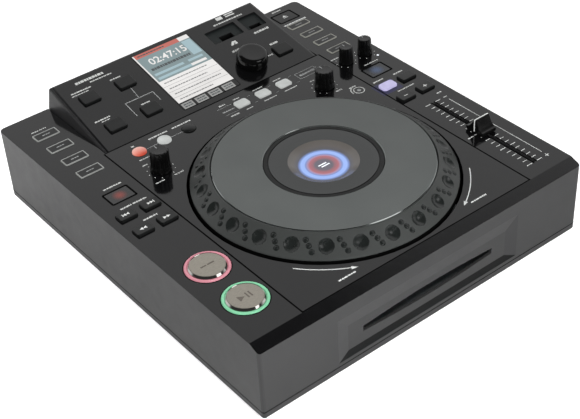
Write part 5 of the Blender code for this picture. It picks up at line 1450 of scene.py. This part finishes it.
# Painted shadow lines in the gaps round the panel, the flush keys and the fader slot.
shadow_line_bars = [stroke((panel_left, panel_front), (panel_left, panel_back), SHADOW_LINE_WIDE),
             stroke((panel_right, panel_front), (panel_right, panel_back), SHADOW_LINE_WIDE),
             stroke((panel_left - SHADOW_LINE_WIDE / 2, panel_front), (panel_right + SHADOW_LINE_WIDE / 2, panel_front),
                    1.0),
             stroke((panel_left, panel_back + SHADOW_LINE_PLAY), (panel_right, panel_back + SHADOW_LINE_PLAY), 0.5)]
for node in FLUSH_KEYS:
    low, high = (corner / MM for corner in cap_corners(node, on_deck))
    shadow_line_bars += frame_strokes(low.x - 0.7, high.x + 0.7, low.y - 0.7, high.y + 0.7, KEY_SHADOW_LINE)
for slot_side in (fader_middle.x / MM - 1.8, fader_middle.x / MM + 1.8):
    shadow_line_bars.append(stroke((slot_side, FADER_FRONT - 1), (slot_side, FADER_BACK + 1), SHADOW_LINE_WIDE))
print_bars("painted_shadow_lines", shadow_line_bars, on_deck, black_painted_shade_and_print, lift=PAINTED_MARK_LIFT)
# Painted shadow: a black band round each lit ring.
for node in ("cue_button", "play_pause_button"):
    shadow_band = start_band(node + "_painted_shadow_band", GUIDE_OUTER - 0.1 * MM, GUIDE_OUTER + 0.8 * MM, 0, 360,
                        -INK_LIFT, PAINTED_MARK_LIFT, 72)
    shift(shadow_band, over(on_deck, cap_middle(node, on_deck)))
    hand_over(shadow_band, "housing", black_painted_shade_and_print, "gloss_housing")
# The blue field is a painted glow of the violet key's light.
print_bars("violet_key_surround", [(111.3, 133.7, 5.1, 17.6, 0)], on_deck, halo_abs, lift=PAINTED_MARK_LIFT)
print("painted shadow strips:", len(shadow_line_bars))

# %% [markdown]
# Two printed arrows follow the jog wheel, one on each side of the front, and show which way it
# turns. Each is a thin arc about the wheel's middle with a triangle at its end.

# %% Arrows round the wheel
ARC_RADIUS = 114.3
ARC_HALF = 0.4
HEAD_LENGTH = 5
HEAD_HALF = 1.7
HEAD_OVERLAP = 0.5

for name, start, end in (("left_arrow_arc", -141.5, -120), ("right_arrow_arc", -37.5, -59.8)):
    arc = start_band(name, (ARC_RADIUS - ARC_HALF) * MM, (ARC_RADIUS + ARC_HALF) * MM, min(start, end),
                     max(start, end), -INK_LIFT, INK_LIFT)
    hand_over(shift(arc, wheel_centre), "housing", white_ink, "gloss_housing")
    tip = math.radians(end)
    out = Vector((math.cos(tip), math.sin(tip)))
    along = Vector((-out.y, out.x)) * (1 if end > start else -1)
    foot = out * ARC_RADIUS - along * HEAD_OVERLAP
    corners = (foot + along * HEAD_LENGTH, foot + out * HEAD_HALF, foot - out * HEAD_HALF)
    print_shapes(name + "_head", [[tuple(corner) for corner in corners]],
                 Matrix.Translation(wheel_centre), white_ink)
print_bars("arrow_words", word_rows((-74, -58, -160.2, 1.3), (60, 76, -158.4, 1.3)), on_deck, white_ink)
print("arrows at", ARC_RADIUS, "mm from the wheel's middle")

# %% [markdown]
# ## Scale dots and lamps
#
# Each rotary knob stands in a ring of printed dots that runs from seven o'clock to five o'clock. One
# rule places them all. The lamps are small milky domes with a flat top. One of them sits in a
# printed ring beside the wheel.

# %% Dots and lamps
DOT_RADIUS = 0.42
DOT_SIDES = 10
DOT_SWEEP = 300
DOT_GAP = 2.4
STATUS_PLACE = (101.7, 18.2)


def dot_outline(x, y):
    """The corners of a small round dot, in millimetres."""
    turns = [2 * math.pi * n / DOT_SIDES for n in range(DOT_SIDES)]
    return [(x + DOT_RADIUS * math.cos(turn), y + DOT_RADIUS * math.sin(turn)) for turn in turns]


def lamp_dome(name, x, y, radius, material):
    """A small dome that stands 0.3 mm proud of the deck, at a place in millimetres."""
    profile = [(0, 0.3), (radius * 0.6, 0.28), (radius * 0.9, 0.14), (radius, -0.1), (radius, -0.4),
               (0, -0.4)]
    dome = turn_at(name, in_mm(profile), 20, on_deck @ Matrix.Translation((x * MM, y * MM, 0)), 40)
    return hand_over(dome, "housing", material, "lit_key")


dots = []
for node, count in SCALE_DOTS.items():
    low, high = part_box(node)
    middle = box_middle(node) / MM
    reach = (high.x - low.x) / 2 / MM + DOT_GAP
    for n in range(count):
        turn = math.radians(90 + DOT_SWEEP / 2 - n * DOT_SWEEP / (count - 1))
        dots.append(dot_outline(middle.x + reach * math.cos(turn), middle.y + reach * math.sin(turn)))
print_shapes("knob_scales", dots, on_deck, white_ink)
status_place = on_deck @ Matrix.Translation((STATUS_PLACE[0] * MM, STATUS_PLACE[1] * MM, 0))
for name, inner, outer, start, end in (("status_ring", 4.3, 5.1, 0, 360),
                                       ("status_sweep", 6.6, 7.5, 110, 190)):
    band = start_band(name, inner * MM, outer * MM, start, end, -INK_LIFT, INK_LIFT, 36)
    hand_over(shift(band, status_place), "housing", label_ink, "gloss_housing")
lamp_dome("status_lamp", *STATUS_PLACE, 1.9, dim_ink)
lamp_dome("single_lamps", 152, 50.2, 1.2, lamp_white)
print("scale dots:", len(dots))

# %% [markdown]
# ## Marks on the keys
#
# The search and track keys carry the usual arrow signs, and the tempo keys a plus and a minus. The
# signs are drawn as outlines in millimetres from the middle of a cap and then printed on it. They
# ride with their key, so they go down with it.

# %% Key signs


def print_on_key(node, outlines, material, rise=0.0, slot="key"):
    """Print shapes on the top of a key's cap, or at a rise over it."""
    top = on_deck @ Matrix.Translation(cap_middle(node, on_deck) + Vector((0, 0, rise)))
    return print_shapes(node + "_sign", outlines, top, material, slot, body_of(node))


def triangle(tip, foot, half):
    """A triangle that points along X, from its foot to its tip."""
    return [(tip, 0), (foot, half), (foot, -half)]


def block(left, right, front, back):
    """A rectangle as an outline."""
    return [(left, front), (right, front), (right, back), (left, back)]


MINUS = block(-1.9, 1.9, -0.35, 0.35)
SIGNS = {
    "search_back_key": [block(-3.6, -3.0, -1.5, 1.5), triangle(-2.9, -0.3, 1.5), triangle(-0.2, 2.4, 1.5)],
    "search_forward_key": [triangle(0.2, -2.4, 1.5), triangle(2.9, 0.3, 1.5), block(3.0, 3.6, -1.5, 1.5)],
    "track_back_key": [triangle(-3.0, 0, 1.6), triangle(0.1, 3.1, 1.6)],
    "track_next_key": [triangle(-0.1, -3.1, 1.6), triangle(3.0, 0, 1.6)],
    "tempo_plus_key": [MINUS, block(-0.35, 0.35, 0.35, 1.9), block(-0.35, 0.35, -1.9, -0.35)],
    "tempo_minus_key": [MINUS],
    "eject_key": [[(-2.6, 0.2), (2.6, 0.2), (0, 3.2)], block(-2.6, 2.6, -1.6, -0.8)]}
PLATE_WORDS = [block(bar[0], bar[1], -0.5, 0.5) for bar in words(-3.4, 3.6, 0)]
BIG_SIGNS = {
    "cue_button": [block(-6, -1, -0.7, 0.7), block(0, 6, -0.7, 0.7)],
    "play_pause_button": [[(-6, -3), (-0.8, 0), (-6, 3)], block(0.8, 2.0, -3, 3), block(3.6, 4.8, -3, 3)]}
for node, outlines in SIGNS.items():
    print_on_key(node, outlines, white_ink)
for number in (1, 2, 3, 4):
    for side in ("source", "mode"):
        print_on_key("%s_key_%d" % (side, number), PLATE_WORDS, dim_ink, -RIM_STEP)
for node, outlines in BIG_SIGNS.items():
    print_on_key(node, outlines, etched_mark, BIG_RISE - cap_middle(node, on_deck).z, "cap_metal")
bowl_floor = Matrix.Translation(wheel_centre + Vector((0, 0, BOWL_RISE)))
print_bars("display_mark", [(-4.6, 3.4, 1.3, 1.2, 0), (-3.4, 4.6, -1.3, 1.2, 0)], bowl_floor, lamp_white,
           "window")
print("keys with a sign:", len(SIGNS) + len(BIG_SIGNS), "and with words:", 2 * number)

# %% [markdown]
# ## The screen
#
# The screen is a bright flat display behind glass. Its picture is built as the display draws it, from
# flat blocks of light: a red title band, a large clock, a progress bar and a white list. The blocks
# lie 0.02 mm over each other, and each has the gloss of the glass in front of it. The backlight is
# slightly uneven over 20 mm.

# %% Screen lights
LAYER = 0.02


def screen_light(name, colour, strength=0.88):
    """Light from one block of the picture, seen through gloss glass."""
    return uneven_light(name, "#060606", colour, 0.1, 20, (0.3, 0.7), (strength * 0.95, strength * 1.05))


screen_white = screen_light("screen_white_light", "#f4f2f0")
screen_red = screen_light("screen_red_light", "#c86c60")
screen_blue = screen_light("screen_blue_grey_light", "#86999c")
screen_pale = screen_light("screen_pale_blue_light", "#a9c4cc")
screen_grey = screen_light("screen_grey_light", "#8c8c8c")
screen_dark = screen_light("screen_dark_light", "#4c5254")
screen_black = screen_light("screen_black_glass", "#0a0a0a", 0.3)
screen_tab = screen_light("screen_tab_light", "#a2a2a0", 0.8)
print("materials after the screen's lights:", len(bpy.data.materials))

# %% [markdown]
# The bottom plate of the picture is a thin slab of black glass with a softened edge. It closes the
# window of the console and stands for the CAD lens. On it lie the blocks, layer by layer, each given
# as its left, right, front and back in the console's plane.

# %% Screen picture
LEFT = -28.0
RIGHT = 30.4
FRONT = 15.2
LIST_BACK = 46.5
CLOCK_BACK = 81.2
BACK = 86.4
FIELD_LEFT = LEFT + 1.3
BAND_LEFT = LEFT + 3.6
TITLE_RIGHT = 19.6
TABS = [(left, right, 6.4, 13.4) for left, right in ((-27.6, -16.4), (-13.6, -2.2), (0.6, 12.2), (15, 26.4))]


def word_blocks(left, right, middle, half):
    """A row of words as blocks."""
    return [(bar[0], bar[1], middle - half, middle + half) for bar in words(left, right, middle)]


lens_low, lens_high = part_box("display_lens")
glass = start_box("screen_glass", (lens_low.x, 6.2 * MM, -1.4 * MM), (lens_high.x, 88.2 * MM, 0.02 * MM))
soften(glass, 0.15 * MM, 2)
hand_over(shift(glass, on_console), "housing", screen_black, "window", "display_lens")
list_lines = [(LEFT + 0.4, RIGHT - 0.4, y - 0.15, y + 0.15) for y in (22.8, 30.6, 38.4)]
list_words = [word for y, right in ((42.6, 22), (34.5, 16), (26.8, 25), (19, 11))
              for word in word_blocks(-24, right, y, 0.6)]
tab_words = [word for tab in TABS for y in (8.6, 11.2)
             for word in word_blocks(tab[0] + 1.6, tab[1] - 1.4, y, 0.7)]
PICTURE = (
    ("screen_list", 1, screen_white, [(LEFT, RIGHT, FRONT, LIST_BACK), (LEFT, FIELD_LEFT, LIST_BACK, BACK),
                                      (TITLE_RIGHT, RIGHT, CLOCK_BACK, BACK)]),
    ("screen_title", 1, screen_red, [(FIELD_LEFT, TITLE_RIGHT, CLOCK_BACK, BACK)]),
    ("screen_clock_ground", 1, screen_blue, [(FIELD_LEFT, RIGHT, LIST_BACK, CLOCK_BACK)]),
    ("screen_pale_band", 2, screen_pale, [(BAND_LEFT, 10.5, 48.6, 51.6), (BAND_LEFT, 6, 54.4, 57.2),
                                          (11, 26.5, 54.4, 57.2), (20, RIGHT - 1.2, 60, 80)]),
    ("screen_bar_end", 2, screen_white, [(10.5, 26.5, 48.6, 51.6)]),
    ("screen_list_lines", 2, screen_grey, list_lines),
    ("screen_list_words", 3, screen_grey, list_words),
    ("screen_title_words", 2, screen_dark, word_blocks(-24, 4, 83.8, 0.7)),
    ("screen_clock_words", 3, screen_dark, word_blocks(-23, 18, 62.9, 1.5)),
    ("screen_tabs", 1, screen_tab, TABS),
    ("tab_words", 2, screen_dark, tab_words))
for name, layer, material, blocks in PICTURE:
    bars = [(left, right, (front + back) / 2, back - front, 0) for left, right, front, back in blocks]
    print_bars(name, bars, on_console, material, "window", lift=INK_LIFT + layer * LAYER * MM)
print("screen rows:", len(list_words), "tab words:", len(tab_words))

# %% [markdown]
# The digits of the clock are a text object. It is made a mesh before it is placed, so that its place
# goes into the mesh.

# %% Screen digits
DIGIT_TALL = 11.4
DIGIT_PLACE = (0.4 * MM, 68.4 * MM, INK_LIFT + 3 * LAYER * MM)

bpy.ops.object.select_all(action="DESELECT")
bpy.ops.object.text_add()
digits = bpy.context.object
digits.name = "screen_digits"
digits.data.body = "02:47:15"
digits.data.align_x = "CENTER"
digits.data.size = DIGIT_TALL * MM
digits.data.extrude = LAYER * MM
digits.data.offset = 0.12 * MM
bpy.ops.object.convert(target="MESH")
shift(digits, on_console @ Matrix.Translation(DIGIT_PLACE))
hand_over(digits, "housing", screen_white, "window")
print("digits have", len(digits.data.polygons), "faces")

# %% [markdown]
# ## The rest of the console
#
# Light ink names the keys, and a thin bracket hangs from one of them over another. The board under
# the console keeps its CAD body: its socket blocks show as black nylon through the mouths of the
# two bays.

# %% Console print
console_bars = word_rows(
    (-88, -60, 83.6, 2.6), (-76, -54, 79.2, 1.2), (-98, -78, 74.2, 1.3), (-99, -82, 71.2, 0.9),
    (-60.5, -50, 71.6, 1.3), (-100, -85, 34.6, 1.3), (-95, -87, 32.0, 0.9), (-55.5, -47, 31.6, 1.3),
    (58, 90, 82, 1.6), (83, 99, 53.9, 2.2), (50.6, 65, 43.9, 2.4), (72.5, 79.4, 22.3, 1.4),
    (85, 94.4, 33.4, 2.0))
print_bars("console_white_print", console_bars, on_console, label_ink)
console_marks = [block(65, 71.6, 86, 90), block(74.8, 84.8, 88.6, 90), block(74.8, 84.8, 86, 87.4),
                 [(55, 51), (58, 51), (61.5, 55.6), (58.5, 55.6)],
                 [(59.5, 51), (62.5, 51), (62.5, 55.6), (61, 55.6)]]
print_shapes("console_marks", console_marks, on_console, white_ink)
bracket = [stroke((-51, 54), (-52, 41), 0.7), stroke((-66, 40), (-38, 40), 0.7),
           stroke((-66, 40.3), (-66, 22), 0.7), stroke((-38, 40.3), (-38, 28), 0.7)]
print_bars("console_bracket", bracket, on_console, dim_ink)
refinish("console_board", socket_nylon)
print("console print has", len(console_bars) + len(bracket), "bars and", len(console_marks), "marks")

# %% [markdown]
# ## Feet, boards and power
#
# The feet are moulded rubber. The main board is green laminate below its sockets, and the power
# supply is a steel box with a nylon inlet. Their bodies are right as they are in CAD, so they only
# get a finish, and two of the finishes change with the place on the body.

# %% Finishes for carried-over bodies
BOARD_THICK = 1.7 * MM
SUPPLY_BACK = 166 * MM


def two_part_finish(name, axis, border, low, high, roughness):
    """One finish that changes colour at a border along an axis, with a fine grain."""
    material, tree, shader, place = start_material(name)
    along = add_node(tree, "ShaderNodeSeparateXYZ", {"Vector": place}).outputs[axis]
    beyond = add_node(tree, "ShaderNodeMath", {0: along, 1: border}, operation="GREATER_THAN")
    grain = add_node(tree, "ShaderNodeTexNoise", {"Vector": place, "Scale": 1 / (1.5 * MM), "Detail": 3})
    tone = add_node(tree, "ShaderNodeMix", {0: beyond.outputs[0], 6: linear(low), 7: linear(high)},
                    data_type="RGBA")
    bump = add_node(tree, "ShaderNodeBump", {"Strength": 0.1, "Distance": 0.1 * MM,
                                             "Height": grain.outputs[0]})
    feed(shader, {"Base Color": tone.outputs[2], "Normal": bump.outputs[0], "Roughness": roughness})
    return material


board_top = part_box("main_board")[0].z + BOARD_THICK
board_finish = two_part_finish("solder_mask_and_nylon", "Z", board_top, "#1c4a30", "#161616", 0.45)
supply_finish = two_part_finish("painted_steel_and_nylon", "Y", SUPPLY_BACK, "#8f9394", "#121212", 0.4)
carried = [("main_board", board_finish), ("power_supply", supply_finish), ("power_rocker", socket_nylon)]
carried += [(node, foot_rubber) for node in sorted(frame["nodes"]) if node.startswith("foot_")]
for node, material in carried:
    refinish(node, material)
print("carried-over bodies with a new finish:", len(carried))

# %% [markdown]
# ## Back wall and underside
#
# Each signal socket has a nickel collar round a coloured nylon insert: white for the left channel and
# red for the right. The floor of its hole is painted black as shade. Light grey print names the
# sockets. Seen from behind, the left channel is the one nearer to the corner of the case.

# %% Sockets and back print
FLUSH = 0.05
SOCKET_BACK = -0.6
HOLE_FLOOR = -0.35
INSERT_TOP = -0.15
SIGNAL_MIDDLE = 99.8
SIGNAL_SPACING = 16
SIGNAL_HEIGHT = 21.35
COLLAR_MM = [(3.0, SOCKET_BACK), (3.0, 0), (3.2, FLUSH), (3.9, FLUSH), (4.1, -0.1), (4.1, SOCKET_BACK),
             (3.0, SOCKET_BACK)]
INSERT_MM = [(1.4, SOCKET_BACK), (1.4, -0.25), (1.5, INSERT_TOP), (3.1, INSERT_TOP), (3.1, SOCKET_BACK),
             (1.4, SOCKET_BACK)]
HOLE_MM = [(0, SOCKET_BACK), (0, HOLE_FLOOR), (1.45, HOLE_FLOOR), (1.45, SOCKET_BACK), (0, SOCKET_BACK)]

on_back = (Matrix.Translation((0, body_high.y, 0)) @ Matrix.Rotation(math.pi, 4, "Z")
           @ Matrix.Rotation(math.pi / 2, 4, "X"))
red_nylon = moulded_abs("socket_red_nylon", "#8c1a1c", "#a02224", 0.4, 0.5, 0.5, 0.1)
white_nylon = moulded_abs("socket_white_nylon", "#c8c8c4", "#d8d8d4", 0.4, 0.5, 0.5, 0.1)
for name, side, nylon in (("left", 1, white_nylon), ("right", -1, red_nylon)):
    x = SIGNAL_MIDDLE + side * SIGNAL_SPACING / 2
    here = on_back @ Matrix.Translation((x * MM, SIGNAL_HEIGHT * MM, 0))
    # The black floor of each socket's hole is painted shade.
    for part, profile, steps, material in (("collar", COLLAR_MM, 48, polished_nickel),
                                           ("insert", INSERT_MM, 48, nylon),
                                           ("hole", HOLE_MM, 32, black_painted_shade_and_print)):
        piece = turn_at("signal_" + part + "_" + name, in_mm(profile), steps, here, 30)
        hand_over(piece, body_of("main_board"), material, "steel")
back_bars = word_rows((88, 112, 30.5), (89, 95, 13.5, 1.2), (105, 111, 13.5, 1.2), (40, 57, 31.5),
                      (-118, -95, 39.5), (-142, -134.5, 48, 1.3))
back_bars += [stroke((84, 33), (116, 33), 0.35), stroke((84, 33), (84, 16), 0.35),
              stroke((116, 33), (116, 16), 0.35)]
print_bars("back_print", back_bars, on_back, label_ink, lift=0.03 * MM)
print("back print has", len(back_bars), "bars")

# %% [markdown]
# A black band of painted shadow lies in the seam between the bottom tray and the case. It is a box
# with the case's own corners, and a smaller box is cut out of its middle, so that only a thin band is
# left.

# %% Seam
FRONT_CORNER = 2.5 * MM
BACK_CORNER = 5 * MM
SEAM_SHADOW_PROUD = 0.04 * MM
SEAM_SHADOW_DROP = 0.5 * MM
SEAM_SHADOW_RISE = 0.3 * MM
SEAM_SHADOW_WIDE = MM
CORE_HALF = 2 * MM

rim_z = body_low.z
seam_shadow = start_box("seam_painted_shadow",
                   (body_low.x - SEAM_SHADOW_PROUD, body_low.y - SEAM_SHADOW_PROUD, rim_z - SEAM_SHADOW_DROP),
                   (body_high.x + SEAM_SHADOW_PROUD, body_high.y + SEAM_SHADOW_PROUD, rim_z + SEAM_SHADOW_RISE))
for side, radius in ((1, BACK_CORNER), (-1, FRONT_CORNER)):
    choose(seam_shadow, "EDGE", lambda edge: upright(edge) and edge.verts[0].co.y * side > 0)
    bpy.ops.mesh.bevel(offset=radius, offset_type="OFFSET", segments=5, affect="EDGES")
    leave()
core = start_box("seam_shadow_core", (body_low.x + SEAM_SHADOW_WIDE, body_low.y + SEAM_SHADOW_WIDE, rim_z - CORE_HALF),
                 (body_high.x - SEAM_SHADOW_WIDE, body_high.y - SEAM_SHADOW_WIDE, rim_z + CORE_HALF))
round_uprights(core, 3 * MM)
cut_away(seam_shadow, core)
# The thin black band is painted shadow in the seam.
hand_over(seam_shadow, "housing", black_painted_shade_and_print, "gloss_housing")
print("seam at", round(rim_z / MM, 2), "mm above the table")

# %% [markdown]
# Eight pan-head screws hold the tray from below. One head is turned, a cross is cut in it, and it
# is copied to the other places. A plain data plate sits between them.

# %% Screws and data plate
SCREW_PLACES = [(x, y) for x in (-152, 152) for y in (-110, -36, 36, 110)]
HEAD_MM = [(0, 0.2), (3, 0.2), (3, -0.4), (2.6, -0.9), (1.6, -1.25), (0, -1.35)]
CROSS_ARM = 1.6
CROSS_HALF = 0.3
PLATE_HALF = (36 * MM, 24 * MM)
PLATE_PROUD = 0.15 * MM
PLATE_ROWS = 6

tray_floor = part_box("base_plate")[0].z
head = start_turned("tray_screw", in_mm(HEAD_MM), 32)
arm, half = CROSS_ARM, CROSS_HALF
cross_outline = [(-arm, -half), (-half, -half), (-half, -arm), (half, -arm), (half, -half), (arm, -half),
                 (arm, half), (half, half), (half, arm), (-half, arm), (-half, half), (-arm, half)]
cut_away(head, start_prism("screw_cross", in_mm(cross_outline), -2 * MM, -0.5 * MM))
smooth(head, 30)
screws = [copy_of(head, "tray_screw", (x * MM, y * MM, tray_floor)) for x, y in SCREW_PLACES]
bpy.data.objects.remove(head)
hand_over(join("tray_screws", screws), body_of("base_plate"), zinc_steel, "steel")
on_tray = Matrix.Translation((0, 0, tray_floor)) @ Matrix.Rotation(math.pi, 4, "Y")
plate = start_box("data_plate", (-PLATE_HALF[0], -PLATE_HALF[1], -0.02 * MM), (*PLATE_HALF, PLATE_PROUD))
round_uprights(plate, 2 * MM)
hand_over(shift(plate, on_tray), body_of("base_plate"), zinc_steel, "steel")
plate_bars = [bar for row in range(PLATE_ROWS) for bar in words(-30, 30 - 7 * (row % 3), 16 - row * 6)]
on_data_plate = on_tray @ Matrix.Translation((0, 0, PLATE_PROUD))
print_bars("data_plate_print", plate_bars, on_data_plate, black_painted_shade_and_print, "steel", body_of("base_plate"))
print("screws:", len(SCREW_PLACES))

# %% Sizes
size = {"cad": [list(corner) for corner in cad_bounds], "visual": [list(corner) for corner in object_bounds()]}
print("boxes in metres:", size)
